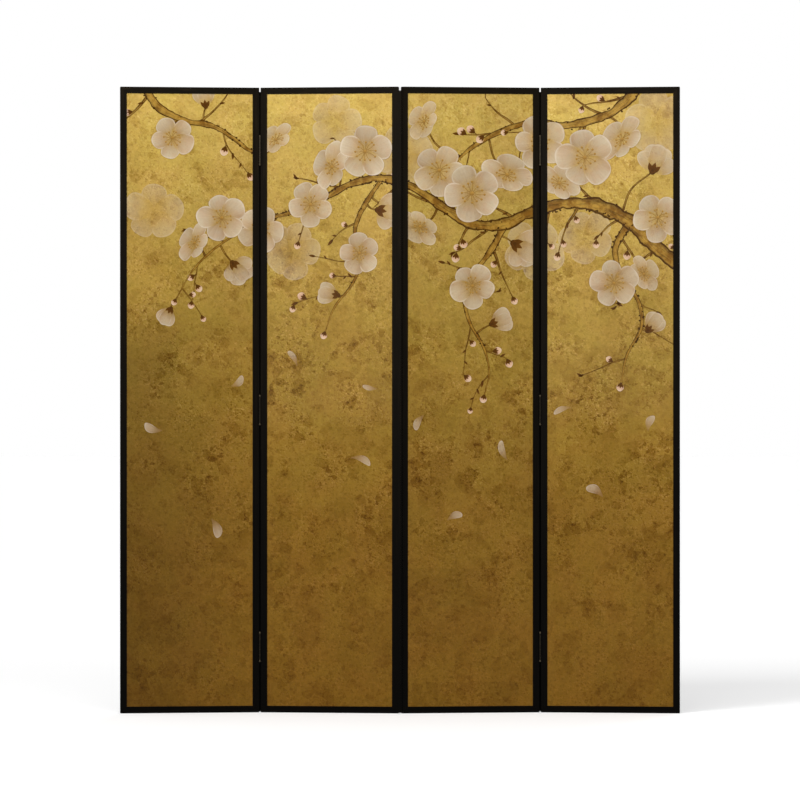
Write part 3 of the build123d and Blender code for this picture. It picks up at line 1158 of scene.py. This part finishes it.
BOUGHS: tuple[Bough, ...] = (
    Bough(((1640, 1262, 46), (1545, 1338, 43), (1458, 1418, 40), (1372, 1460, 38), (1272, 1466, 36),
           (1182, 1440, 34), (1092, 1404, 31), (1010, 1408, 29), (930, 1452, 27), (850, 1506, 25),
           (762, 1536, 22), (672, 1524, 19), (592, 1484, 16), (512, 1446, 13), (430, 1424, 11),
           (350, 1388, 9), (272, 1336, 7), (208, 1272, 5), (160, 1190, 3)), 0.65),
    Bough(((1512, 1830, 34), (1446, 1752, 30), (1362, 1706, 26), (1272, 1690, 22), (1182, 1700, 19),
           (1092, 1672, 16), (1012, 1628, 12), (952, 1568, 8), (918, 1500, 4)), 0.55),
    Bough(((1108, 1412, 21), (1070, 1338, 18), (1022, 1272, 15), (992, 1200, 12), (1002, 1124, 10),
           (1042, 1056, 8), (1060, 984, 5), (1046, 914, 3))),
    Bough(((758, 1538, 17), (708, 1466, 14), (676, 1386, 12), (692, 1306, 10), (668, 1232, 8),
           (618, 1168, 6), (590, 1096, 3))),
    Bough(((1466, 1412, 21), (1424, 1338, 17), (1440, 1260, 14), (1488, 1188, 12), (1498, 1108, 10),
           (1458, 1030, 7), (1440, 948, 3))),
    Bough(((52, 1830, 27), (108, 1744, 22), (186, 1704, 18), (262, 1690, 14), (326, 1654, 11),
           (376, 1618, 9), (424, 1616, 7), (450, 1646, 6))),
)

FLOWERS: tuple[Flower, ...] = (
    Flower(1336, 1598, 168, 12, View.FACE, 2), Flower(1444, 1650, 148, 50, View.TURNED, 1),
    Flower(1262, 1524, 134, -30, View.TURNED, 1), Flower(1530, 1556, 116, -20, View.SIDE),
    Flower(1546, 1424, 142, 30, View.FACE, 1), Flower(1420, 1236, 140, 8, View.FACE, 1),
    Flower(1506, 1262, 112, -60, View.TURNED), Flower(1516, 1098, 86, -40, View.OPENING),
    Flower(1206, 1642, 150, 20, View.FACE, 1),
    Flower(1010, 1494, 176, 24, View.FACE, 2), Flower(1112, 1548, 156, -16, View.TURNED, 1),
    Flower(916, 1560, 150, 44, View.FACE, 1), Flower(1130, 1352, 122, -120, View.SIDE),
    Flower(860, 1398, 130, 140, View.TURNED), Flower(1012, 1228, 130, 36, View.FACE, 1),
    Flower(1066, 1118, 90, -70, View.OPENING), Flower(872, 1700, 118, 60, View.TURNED),
    Flower(706, 1614, 158, 0, View.FACE, 2), Flower(610, 1570, 140, 70, View.TURNED, 1),
    Flower(548, 1462, 132, 30, View.FACE, 1), Flower(742, 1446, 112, -100, View.SIDE),
    Flower(690, 1322, 122, 10, View.FACE, 1), Flower(628, 1202, 82, 80, View.OPENING),
    Flower(448, 1650, 110, 40, View.TURNED),
    Flower(404, 1392, 136, -24, View.FACE, 1), Flower(292, 1424, 142, 14, View.FACE, 2),
    Flower(214, 1352, 118, 60, View.TURNED, 1), Flower(322, 1296, 96, -140, View.SIDE),
    Flower(150, 1654, 126, 26, View.FACE, 1), Flower(246, 1744, 84, 10, View.OPENING),
    Flower(146, 1164, 74, 150, View.OPENING),
    Flower(1546, 1700, 186, 10, View.FADED), Flower(1190, 1330, 176, 40, View.FADED),
    Flower(820, 1600, 180, 20, View.FADED), Flower(494, 1330, 168, 50, View.FADED),
    Flower(96, 1440, 172, 0, View.FADED), Flower(1340, 1370, 158, 30, View.FADED),
    Flower(620, 1700, 150, 60, View.FADED),
)

# The falling petals: across, up, length, turn in degrees and curl.
FALLEN: tuple[tuple[float, float, float, float, float], ...] = (
    (118, 806, 54, 70, 0.24), (322, 934, 46, -50, -0.30), (268, 560, 58, 200, 0.20),
    (512, 1000, 50, 30, -0.16), (668, 742, 60, -110, 0.30), (742, 930, 44, 80, 0.12),
    (866, 860, 50, 150, -0.26), (1108, 724, 60, 20, 0.22), (936, 560, 48, -70, 0.28),
    (1296, 884, 54, 110, -0.20), (1512, 812, 48, -20, 0.26), (1392, 628, 56, 60, -0.32),
)


@dataclass
class Growth:
    """What grows on the boughs across all four boards. Its ranges are in millimetres and degrees.

    Attributes:
        seed: where its chances start.
        spacing: how far apart the points on a bough are, where twigs, stalks and moss are set out.
        switch_chance: how likely a twig is to stand on the other side from the last.
        first_twig: how far along a bough the first twig stands, and twig_gap how far apart the others do.
        twig_slant: how far they lean off the bough.
        twig_length: how long they are, before the bough's width changes that.
        twig_width: how wide their feet may be, and twig_share that width as a share of the bough's.
        twig_joints: how many joints they have, and joint_length how uneven these are.
        twig_tip: the least width of a twig, and twig_taper the share of it lost at each joint.
        twig_bend: how far, in radians, a twig bends at all its joints, and twig_jitter at any one of them.
        bearing: how likely a joint is to bear anything, bearing_bud a bud, and tip_bud the tip a bud.
        bud_width: how wide the buds are, and bud_slant how far they lean off the twig.
        bud_room: how far a bud stays from a flower, and bud_reach the share of its width that it leans out.
        scale_width: how wide the dark leaf scales are, scale_reach how far they stand off the twig, and
            tip_scale how wide those at a twig's tip are.
        stalk_bow: how far a flower's stalk bows, as a share of its length.
        moss_radius: how big the dots of moss are, and moss_side how far out on the bough they lie.
        moss_patch: how fine its patches are, moss_bough the least width of a bough that has it, and
            moss_thick how dense it is between patches and how much denser in them.
    """

    seed: int
    spacing: Knot = (12.0, 20.0, 5.0)
    switch_chance: float = 0.72
    first_twig: Spot = (40, 90)
    twig_gap: Spot = (46, 104)
    twig_slant: Spot = (32, 62)
    twig_length: Spot = (64, 168)
    twig_width: Spot = (4.6, 10.0)
    twig_share: float = 0.46
    twig_joints: int = 4
    joint_length: Spot = (0.85, 1.15)
    twig_tip: float = 2.4
    twig_taper: float = 0.19
    twig_bend: Spot = (-0.10, 0.16)
    twig_jitter: Spot = (-0.22, 0.22)
    twig_lift: float = 0.35
    bearing: float = 0.66
    bearing_bud: float = 0.45
    tip_bud: float = 0.6
    bud_width: Spot = (15, 24)
    bud_slant: Spot = (30, 60)
    bud_stalk: Spot = (6, 14)
    bud_room: float = 16
    bud_reach: float = 0.6
    scale_width: Spot = (5, 8)
    scale_reach: float = 5.0
    tip_scale: Spot = (6, 9)
    stalk_bow: Spot = (-0.22, 0.22)
    moss_radius: Spot = (1.2, 3.1)
    moss_side: Spot = (0.72, 1.18)
    moss_patch: float = 0.012
    moss_bough: float = 8
    moss_thick: Spot = (0.42, 1.1)
    twigs: list[Bough] = field(default_factory=list)
    buds: list[Bud] = field(default_factory=list)
    scales: list[Mark] = field(default_factory=list)
    moss: list[Mark] = field(default_factory=list)

    def __post_init__(self) -> None:
        """Sets out the twigs, buds and leaf scales along the boughs, and the stalks of the flowers."""
        rng = random.Random(self.seed)
        for bough in BOUGHS:
            line = smooth_line(bough.line, self.spacing[0])
            travelled, due, side = 0.0, rng.uniform(*self.first_twig), 1
            for here, ahead in zip(line, line[1:]):
                travelled += (ahead.xy - here.xy).length
                if travelled < due:
                    continue
                due = travelled + rng.uniform(*self.twig_gap)
                side = -side if rng.random() < self.switch_chance else side
                heading = math.atan2(ahead.y - here.y, ahead.x - here.x)
                self.grow_twig(rng, here, heading + side * math.radians(rng.uniform(*self.twig_slant)))
            last = line[-1].xy - line[-3].xy
            self.grow_bud(rng, (line[-1].x, line[-1].y), math.atan2(last.y, last.x), 2.0)
        for flower in FLOWERS:
            self.grow_stalk(rng, flower)
        self.grow_moss(random.Random(self.seed + 23))

    def grow_twig(self, rng: random.Random, root: Vector, heading: float) -> None:
        """Sets out one twig with what it carries.

        Args:
            rng: where its chances come from.
            root: where it leaves its bough, with the bough's width there.
            heading: its direction, from straight across.
        """
        length = rng.uniform(*self.twig_length) * (0.75 + min(root.z, 30) / 60)
        width = min(self.twig_width[1], max(self.twig_width[0], root.z * self.twig_share))
        knots = [(root.x, root.y, width)]
        bend = rng.uniform(*self.twig_bend)
        for joint in range(1, self.twig_joints + 1):
            heading += bend + rng.uniform(*self.twig_jitter)
            reach = length / self.twig_joints * rng.uniform(*self.joint_length)
            spot = reach_from(knots[-1][:2], heading, reach)
            knots.append((*spot, max(self.twig_tip, width * (1 - self.twig_taper * joint))))
            if rng.random() < self.bearing:
                off = heading + rng.choice((-1, 1)) * math.radians(rng.uniform(*self.bud_slant))
                if rng.random() < self.bearing_bud:
                    self.grow_bud(rng, spot, off, rng.uniform(*self.bud_stalk))
                else:
                    middle = reach_from(spot, off, self.scale_reach)
                    self.scales.append((*middle, rng.uniform(*self.scale_width), off))
        self.twigs.append(Bough(tuple(knots), self.twig_lift))
        if rng.random() < self.tip_bud:
            self.grow_bud(rng, knots[-1][:2], heading, 1.0)
        else:
            self.scales.append((*knots[-1][:2], rng.uniform(*self.tip_scale), heading))

    def grow_bud(self, rng: random.Random, root: Spot, heading: float, stalk: float) -> None:
        """Sets out a bud, unless a flower or another bud would crowd it.

        Args:
            rng: where its size comes from.
            root: where its stalk leaves the twig.
            heading: its direction.
            stalk: its stalk's length.
        """
        bud = Bud(root, reach_from(root, heading, stalk), rng.uniform(*self.bud_width), heading)
        tip = bud.ahead(self.bud_reach)
        near = (math.dist(tip, other.ahead(self.bud_reach)) < (bud.width + other.width) / 2
                for other in self.buds)
        if not any(flower.hides(bud.foot, self.bud_room) for flower in FLOWERS) and not any(near):
            self.buds.append(bud)

    def grow_stalk(self, rng: random.Random, flower: Flower) -> None:
        """Joins a flower that stands off its bough to the nearest one.

        Args:
            rng: where its bend comes from.
            flower: the flower.
        """
        middle = flower.middle
        points = [point for bough in BOUGHS for point in smooth_line(bough.line, self.spacing[1])]
        nearest = min(points, key=lambda point: (point.xy - middle).length)
        gap = middle - nearest.xy
        if flower.view is View.FADED or gap.length < nearest.z:
            return
        bow = Vector((-gap.y, gap.x)) * rng.uniform(*self.stalk_bow)
        bend = nearest.xy + gap * 0.5 + bow
        line = ((nearest.x, nearest.y, 7.0), (bend.x, bend.y, 5.4), (middle.x, middle.y, 4.2))
        self.twigs.append(Bough(line, self.twig_lift))

    def grow_moss(self, rng: random.Random) -> None:
        """Scatters dark dots of moss along the sides of the boughs, in patches.

        Args:
            rng: where their chances come from.
        """
        for bough in BOUGHS:
            line = smooth_line(bough.line, self.spacing[2])
            for here, ahead in zip(line, line[1:]):
                growth = noise.noise(Vector((here.x * self.moss_patch, here.y * self.moss_patch, 4.0)))
                thick = self.moss_thick[0] + self.moss_thick[1] * growth
                if here.z < self.moss_bough or rng.random() > thick:
                    continue
                along = (ahead.xy - here.xy).normalized()
                side = Vector((along.y, -along.x)) * rng.choice((-0.5, 0.5)) * here.z
                side *= rng.uniform(*self.moss_side)
                radius = rng.uniform(*self.moss_radius)
                self.moss.append((here.x + side.x, here.y + side.y, radius, rng.uniform(0, math.pi)))


class Kind(Enum):
    """The kinds of paint on a board, each a piece of its own."""

    BOUGHS = "painted_boughs"
    TWIGS = "painted_twigs"
    MOSS = "painted_moss"
    BUDS = "painted_buds"
    CALYXES = "painted_calyxes"
    FLOWERS = "painted_flowers"
    FADED = "faded_flowers"
    STAMENS = "painted_stamens"
    FALLING = "falling_petals"


@dataclass
class PaintedBoard:
    """The painting on one board. Lifts and steps are in millimetres, and angles in radians.

    Attributes:
        tier_step: how much higher a nearer flower lies.
        petal_step: how much higher each next petal of a flower lies, and faded_step of a faded one.
        overlap_step: how much neighbours differ, so that no two faces coincide.
        stamen_rise: how far the stamens lie above the first petal, and calyx_rise a flower's calyx.
        petal_length: how long petals are, as a share of the flower's width.
        petal_breadth: how wide they are as a share of their length, and fan_breadth those seen side-on.
        side_fan: the directions of the petals of a side-on flower, and opening_fan of one that opens.
        stamen_foot: where stamens begin, as a share of their reach, and stamen_widths how wide they are.
        sepals: the directions of a calyx's sepals. Their sizes are shares of the bud's width.
        twig_spread: how far a twig may reach from its foot, and the other spreads what they name.
    """

    board: BoardPlace
    growth: Growth
    petal_lift: float = 0.78
    tier_step: float = 0.42
    petal_step: float = 0.07
    overlap_step: float = 0.02
    faded_lift: float = 0.05
    faded_step: float = 0.045
    stamen_rise: float = 0.42
    calyx_rise: float = 0.4
    stalk_lift: float = 0.33
    scale_lift: float = 0.48
    bud_lift: float = 0.60
    calyx_lift: float = 0.66
    moss_lift: float = 0.72
    fallen_lift: float = 0.45
    petal_order: tuple[int, ...] = (0, 2, 4, 1, 3)
    petal_shades: tuple[float, ...] = (0.84, 0.90, 0.94, 0.98, 1.0)
    petal_length: Spot = (0.47, 0.53)
    petal_breadth: Spot = (0.98, 1.12)
    petal_sway: Spot = (-0.09, 0.09)
    side_fan: tuple[float, ...] = (-0.30, 0.30, -0.86, 0.86, 0.02)
    opening_fan: tuple[float, ...] = (-0.34, 0.34, 0.0)
    fan_breadth: Spot = (0.74, 0.84)
    stamens: int = 12
    stamen_reach: Spot = (0.13, 0.21)
    stamen_sway: Spot = (-0.14, 0.14)
    stamen_bow: Spot = (-0.12, 0.12)
    stamen_foot: float = 0.16
    stamen_widths: Knot = (1.5, 1.3, 1.1)
    fallen_breadth: Spot = (0.36, 0.58)
    cup_radius: float = 0.20
    sepals: tuple[float, ...] = (-0.78, 0.78, 0.0)
    sepal_reach: float = 0.30
    sepal_radius: float = 0.15
    sepal_stretch: float = 2.1
    leaf_stretch: float = 2.7
    leaf_point: float = 0.85
    twig_spread: float = 240
    bud_spread: float = 40
    scale_spread: float = 30
    cup_spread: float = 90
    moss_spread: float = 10
    shortest_stalk: float = 4

    def __post_init__(self) -> None:
        """Starts an empty layer of each kind."""
        self.layers = {kind: PaintLayer(self.board) for kind in Kind}

    def paint_boughs(self) -> None:
        """Paints the boughs, the twigs with the buds' stalks, and the moss."""
        twigs, moss = self.layers[Kind.TWIGS], self.layers[Kind.MOSS]
        for bough in BOUGHS:
            self.layers[Kind.BOUGHS].stroke(bough.line, bough.lift, spacing=11.0, columns=6, gnarl=0.5)
        for place, twig in enumerate(self.growth.twigs):
            if twigs.near(*twig.line[0][:2], self.twig_spread):
                lift = twig.lift + self.overlap_step * (place % 5)
                twigs.stroke(twig.line, lift, spacing=12.0, columns=3, gnarl=0.3)
        for bud in self.growth.buds:
            if twigs.near(*bud.root, self.bud_spread) and math.dist(bud.root, bud.foot) > self.shortest_stalk:
                twigs.stroke(((*bud.root, 3.4), (*bud.foot, 3.0)), self.stalk_lift, spacing=12.0, columns=2)
        for across, up, radius, turn in self.growth.moss:
            if moss.near(across, up, self.moss_spread):
                moss.dab((across, up), radius, self.moss_lift, stretch=1.3, turn=turn)

    def paint_calyx(self, foot: Point, heading: float, width: float, lift: float) -> None:
        """Paints the cup and the three sepals that hold a bud or a side-on flower.

        Args:
            foot: where the stalk ends.
            heading: the direction of the bud.
            width: the bud's width.
            lift: the paint's thickness.
        """
        layer, upright = self.layers[Kind.CALYXES], heading - math.pi / 2
        layer.dab(foot, width * self.cup_radius, lift + 0.06, stretch=0.9, turn=upright, faces=4)
        for offset in self.sepals:
            middle = reach_from(foot, heading + offset, width * self.sepal_reach)
            layer.dab(middle, width * self.sepal_radius, lift + (0.03 if offset else 0.09),
                      self.sepal_stretch, upright + offset * 0.75, faces=4, point=self.leaf_point)

    def paint_buds(self) -> None:
        """Paints the round buds, the calyxes and the dark leaf scales."""
        rng = random.Random(self.growth.seed + 11)
        petals, dark = self.layers[Kind.BUDS], self.layers[Kind.CALYXES]
        for bud in self.growth.buds:
            wash = (0.95, 0.96, rng.random())
            if petals.near(*bud.foot, self.bud_spread):
                turn = bud.heading - math.pi / 2
                petals.dab(bud.ahead(0.48), bud.width * 0.5, self.bud_lift, stretch=1.06, turn=turn, faces=5,
                           point=0.12, wash=wash)
                self.paint_calyx(bud.foot, bud.heading, bud.width, self.calyx_lift)
        for across, up, width, heading in self.growth.scales:
            if dark.near(across, up, self.scale_spread):
                dark.dab((across, up), width * 0.5, self.scale_lift, self.leaf_stretch, heading - math.pi / 2,
                         point=self.leaf_point)
        for flower in FLOWERS:
            if flower.cupped and dark.near(*flower.middle, self.cup_spread):
                lift = self.petal_lift + self.tier_step * flower.tier + self.calyx_rise
                self.paint_calyx(flower.middle, flower.angle + math.pi / 2, flower.width * 0.40, lift)

    def paint_flowers(self) -> None:
        """Paints the flowers, each as it is seen."""
        for index, flower in enumerate(FLOWERS):
            rng = random.Random(self.growth.seed * 100 + index)
            if not self.layers[Kind.FLOWERS].near(*flower.middle, flower.width):
                continue
            beside = self.overlap_step * (index % 3)
            lift = self.petal_lift + self.tier_step * flower.tier + beside
            if flower.view is View.FADED:
                self.paint_open(Kind.FADED, flower, rng, self.faded_lift + beside, self.faded_step)
            elif flower.cupped:
                self.paint_cupped(flower, rng, lift)
            else:
                self.paint_open(Kind.FLOWERS, flower, rng, lift, self.petal_step)
                self.paint_stamens(flower, rng, lift + self.stamen_rise)

    def paint_open(self, kind: Kind, flower: Flower, rng: random.Random, lift: float, step: float) -> None:
        """Paints five petals round a middle.

        Args:
            kind: the layer it is painted in.
            flower: the flower.
            rng: where its unevenness comes from.
            lift: the thickness of its first petal.
            step: how much thicker each next petal is.
        """
        for place, which in enumerate(self.petal_order):
            angle = flower.angle + which * math.tau / 5 + rng.uniform(*self.petal_sway)
            length = flower.width * rng.uniform(*self.petal_length)
            if flower.view is View.TURNED:
                length *= 1.0 + 0.16 * math.cos(angle - flower.angle)
            size = (length * rng.uniform(*self.petal_breadth), length)
            shade = self.petal_shades[place] * rng.uniform(0.96, 1.02)
            wash = (flower.strength * rng.uniform(0.90, 1.0), shade, rng.random())
            self.layers[kind].petal(flower.middle, size, angle, lift + place * step, wash, rng, flower.squash)

    def paint_cupped(self, flower: Flower, rng: random.Random, lift: float) -> None:
        """Paints a flower seen from the side, its petals in a fan from the calyx.

        Args:
            flower: the flower.
            rng: where its unevenness comes from.
            lift: the thickness of its first petal.
        """
        layer = self.layers[Kind.FLOWERS]
        for place, offset in enumerate(self.opening_fan if flower.view is View.OPENING else self.side_fan):
            length = flower.width * (0.60 if abs(offset) > 0.5 else 0.72) * rng.uniform(0.94, 1.04)
            size = (length * rng.uniform(*self.fan_breadth), length)
            wash = (flower.strength, rng.uniform(0.86, 0.98), rng.random())
            layer.petal(flower.middle, size, flower.angle + offset, lift + place * self.petal_step, wash, rng,
                        waist=0.42)

    def paint_stamens(self, flower: Flower, rng: random.Random, lift: float) -> None:
        """Paints a flower's stamens.

        Args:
            flower: the flower.
            rng: where their unevenness comes from.
            lift: the paint's thickness.
        """
        layer, middle = self.layers[Kind.STAMENS], flower.middle
        for which in range(self.stamens):
            angle = flower.angle + which * math.tau / self.stamens + rng.uniform(*self.stamen_sway)
            reach = flower.width * rng.uniform(*self.stamen_reach)
            ahead = flower.squash @ Vector((math.cos(angle), math.sin(angle))) * reach
            start, end = middle + ahead * self.stamen_foot, middle + ahead
            bow = Vector((-(end - start).y, (end - start).x)) * rng.uniform(*self.stamen_bow)
            bend = (start + end) / 2 + bow
            line = [(*spot, width) for spot, width in zip((start, bend, end), self.stamen_widths)]
            layer.stroke(line, lift, spacing=9.0, columns=1)
            layer.dab(end, flower.width * 0.016 + 0.6, lift + 0.08, faces=2)
        layer.dab(middle, flower.width * 0.034, lift + 0.05)

    def paint_fallen(self) -> None:
        """Paints the falling petals."""
        layer = self.layers[Kind.FALLING]
        for index, (across, up, length, turn, curl) in enumerate(FALLEN):
            if layer.near(across, up, length):
                rng = random.Random(self.growth.seed * 50 + index)
                size = (length * rng.uniform(*self.fallen_breadth), length)
                wash = (0.65, 0.93, rng.random())
                layer.petal((across, up), size, math.radians(turn), self.fallen_lift, wash, rng,
                            waist=0.30, curl=curl)

    def build(self, paints: dict[Kind, Material]) -> None:
        """Paints the board and makes a piece of each kind.

        Args:
            paints: the kinds' materials.
        """
        self.paint_boughs()
        self.paint_buds()
        self.paint_flowers()
        self.paint_fallen()
        for kind, layer in self.layers.items():
            layer.finish(f"panel_{self.board.number}_{kind.value}", paints[kind])


@dataclass
class Painting:
    """The flowering plum across the four boards."""

    gilding: Gilding
    seed: int = 7

    def paints(self) -> dict[Kind, Material]:
        """Mixes the paints.

        Returns:
            The material of each kind.
        """
        gold = self.gilding
        petal = PetalPaint(gold)
        bud = PetalPaint(gold, "bud_rose", (0.37, 0.175, 0.100), (0.54, 0.345, 0.230), (0.63, 0.475, 0.345))
        twig = BarkPaint(gold, "twig_ink", (0.098, 0.038, 0.0035), (0.195, 0.092, 0.010), opacity=0.97,
                         edge=0.50)
        moss = DeepPaint(gold, "moss_brown", (0.056, 0.021, 0.0015), (0.023, 0.0085, 0.0006))
        calyx = DeepPaint(gold, "calyx_brown", (0.105, 0.038, 0.004), (0.034, 0.012, 0.001))
        stamen = DeepPaint(gold, "stamen_ochre", (0.36, 0.20, 0.040), (0.14, 0.065, 0.015))
        kinds = {
            (Kind.BOUGHS,): BarkPaint(gold),
            (Kind.TWIGS,): twig,
            (Kind.MOSS,): moss,
            (Kind.BUDS,): bud,
            (Kind.CALYXES,): calyx,
            (Kind.FLOWERS, Kind.FADED, Kind.FALLING): petal,
            (Kind.STAMENS,): stamen,
        }
        made = {kinds_of: paint.material() for kinds_of, paint in kinds.items()}
        return {kind: material for kinds_of, material in made.items() for kind in kinds_of}

    def build(self, boards: Iterable[BoardPlace]) -> None:
        """Paints every board.

        Args:
            boards: the boards' places.
        """
        growth, paints = Growth(self.seed), self.paints()
        for board in boards:
            PaintedBoard(board, growth).build(paints)


@dataclass
class Panels:
    """The four panels: lacquered frames, gold boards, back boards and the cores between them."""

    count: int = 4
    fold: float = math.radians(6.0)
    upright: BlackLacquer = BlackLacquer("black_lacquer_upright", (190.0, 190.0, 7.0))
    crosswise: BlackLacquer = BlackLacquer("black_lacquer_crosswise", (7.0, 190.0, 190.0))
    veneer: DarkVeneer = DarkVeneer()
    softwood: Softwood = Softwood()

    def boards(self) -> list[BoardPlace]:
        """Returns the places of the gold boards."""
        return [BoardPlace.measured(number, self.fold) for number in range(1, self.count + 1)]

    def build(self, gold: Material) -> None:
        """Dresses every node of the panels.

        Args:
            gold: the gold boards' material.
        """
        upright, crosswise = self.upright.material(), self.crosswise.material()
        finishes = {
            "left_stile": upright,
            "right_stile": upright,
            "top_rail": crosswise,
            "bottom_rail": crosswise,
            "gilt_board": gold,
            "back_board": self.veneer.material(),
            "core_lattice": self.softwood.material(),
        }
        for number in range(1, self.count + 1):
            for part, material in finishes.items():
                dress(f"panel_{number}_{part}", material)


@dataclass
class Hinges:
    """The butt hinges in the three seams, with their pins and screws."""

    seams: int = 3
    levels: tuple[str, ...] = ("upper", "middle", "lower")
    leaf: BlackenedBronze = BlackenedBronze("blackened_bronze_leaf")
    pin: BlackenedBronze = BlackenedBronze("rubbed_bronze_pin", (0.060, 0.048, 0.030), patterned=False)
    screw: BlackenedBronze = BlackenedBronze("blackened_screw", (0.050, 0.041, 0.028), patterned=False)

    def build(self) -> None:
        """Dresses every node of the hinges."""
        leaf, pin, screw = self.leaf.material(), self.pin.material(), self.screw.material()
        for seam in range(1, self.seams + 1):
            dress(f"seam_{seam}_hinge_pins", pin)
            for side in ("left", "right"):
                dress(f"seam_{seam}_{side}_screws", screw)
                for level in self.levels:
                    dress(f"seam_{seam}_{level}_hinge_{side}_leaf", leaf)


@dataclass(frozen=True)
class Lamp:
    """A soft lamp: a sun with a spread in degrees, or else a lit rectangle with a size in metres."""

    name: str
    energy: float
    stands: Knot
    target: Knot = (0, 0, 0.9)
    spread: float = 0.0
    size: Spot = (1.0, 1.0)

    def hang(self) -> None:
        """Hangs it, turned to its target."""
        if self.spread:
            data = bpy.data.lights.new(self.name, "SUN")
            data.angle = math.radians(self.spread)
        else:
            data = bpy.data.lights.new(self.name, "AREA")
            data.shape = "RECTANGLE"
            data.size, data.size_y = self.size
        data.energy = self.energy
        lamp = bpy.data.objects.new(self.name, data)
        lamp.location = self.stands
        lamp.rotation_euler = (Vector(self.target) - Vector(self.stands)).to_track_quat("-Z", "Y").to_euler()
        bpy.context.scene.collection.objects.link(lamp)


@dataclass
class Studio:
    """A pale floor, soft light and the camera."""

    floor_side: float = 110.0
    floor_drop: float = 0.0002
    floor_colour: Colour = (0.80, 0.80, 0.80)
    floor_glow: float = 0.26
    ambient: float = 0.52
    distance: float = 12.0
    eye_height: float = 0.9
    view_width: float = 2.3032
    sensor: float = 36.0
    far: float = 200.0
    lamps: tuple[Lamp, ...] = (
        Lamp("key", 1.35, (-3.4, -3.6, 4.2), spread=24),
        Lamp("fill", 0.5, (2.6, -3.4, 2.4), spread=30),
        Lamp("rear", 0.7, (1.5, 4.0, 3.6), spread=30),
        Lamp("side", 27.0, (-1.1, -6.5, 1.9), (0.0, 0.0, 1.0), size=(2.0, 2.2)),
        Lamp("bank", 40.0, (-0.3, -2.6, 3.3), (0.0, 0.0, 1.5), size=(2.4, 0.9)),
    )

    @staticmethod
    def seen(recipe: Recipe) -> Socket:
        """Finds whether a ray comes from the camera, a mirror or a window.

        Args:
            recipe: the tree it is made in.

        Returns:
            1 if it does, or else 0.
        """
        path = recipe.node("LightPath").outputs
        mirrored = recipe.math("MAXIMUM", path["Is Glossy Ray"], path["Is Transmission Ray"])
        return recipe.math("MAXIMUM", path["Is Camera Ray"], mirrored)

    def floor(self) -> None:
        """Lays the floor, which glows a little where it is seen."""
        material, recipe = new_material("pale_floor")
        uneven = recipe.between(recipe.noise(recipe.place(), scale=3.0, detail=3.0), 0.99, 1.01)
        matt = recipe.node("BsdfDiffuse", {"Color": recipe.shade(self.floor_colour, uneven)})
        glow = recipe.node("Emission", {"Strength": recipe.times(self.seen(recipe), self.floor_glow)})
        recipe.end("Material", recipe.node("AddShader", {0: matt.outputs[0], 1: glow.outputs[0]}))
        mesh = bmesh.new()
        bmesh.ops.create_grid(mesh, x_segments=2, y_segments=2, size=self.floor_side / 2)
        bmesh.ops.translate(mesh, verts=mesh.verts[:], vec=(0.0, 0.0, -self.floor_drop))
        floor = stand("studio_floor", mesh, material)

    def world(self) -> None:
        """Lights the surroundings: white where they are seen, softer as light."""
        world = bpy.data.worlds.new("studio")
        bpy.context.scene.world = world
        world.use_nodes = True
        recipe = Recipe(world.node_tree)
        strength = recipe.between(self.seen(recipe), self.ambient, 1.0)
        recipe.end("World", recipe.node("Background", {"Color": (1.0, 1.0, 1.0), "Strength": strength}))

    def camera(self) -> None:
        """Stands the camera level with the screen's middle, square to it."""
        data = bpy.data.cameras.new("camera")
        data.sensor_width = self.sensor
        data.lens = self.sensor * self.distance / self.view_width
        data.clip_end = self.far
        camera = bpy.data.objects.new("camera", data)
        camera.location = (0.0, -self.distance, self.eye_height)
        camera.rotation_euler = (math.pi / 2, 0.0, 0.0)
        bpy.context.scene.collection.objects.link(camera)
        bpy.context.scene.camera = camera

    def build(self) -> None:
        """Sets the studio up."""
        bpy.context.scene.view_settings.view_transform = "Standard"
        self.floor()
        self.world()
        for lamp in self.lamps:
            lamp.hang()
        self.camera()


def main() -> None:
    """Builds the studio, dresses the screen and paints it."""
    logging.basicConfig(level=logging.INFO, format="%(message)s")
    Studio().build()
    gilding, panels = Gilding(GoldLeaf(), ClearCoat()), Panels()
    panels.build(gilding.material())
    Hinges().build()
    Painting(gilding).build(panels.boards())


if __name__ == "__main__":
    main()
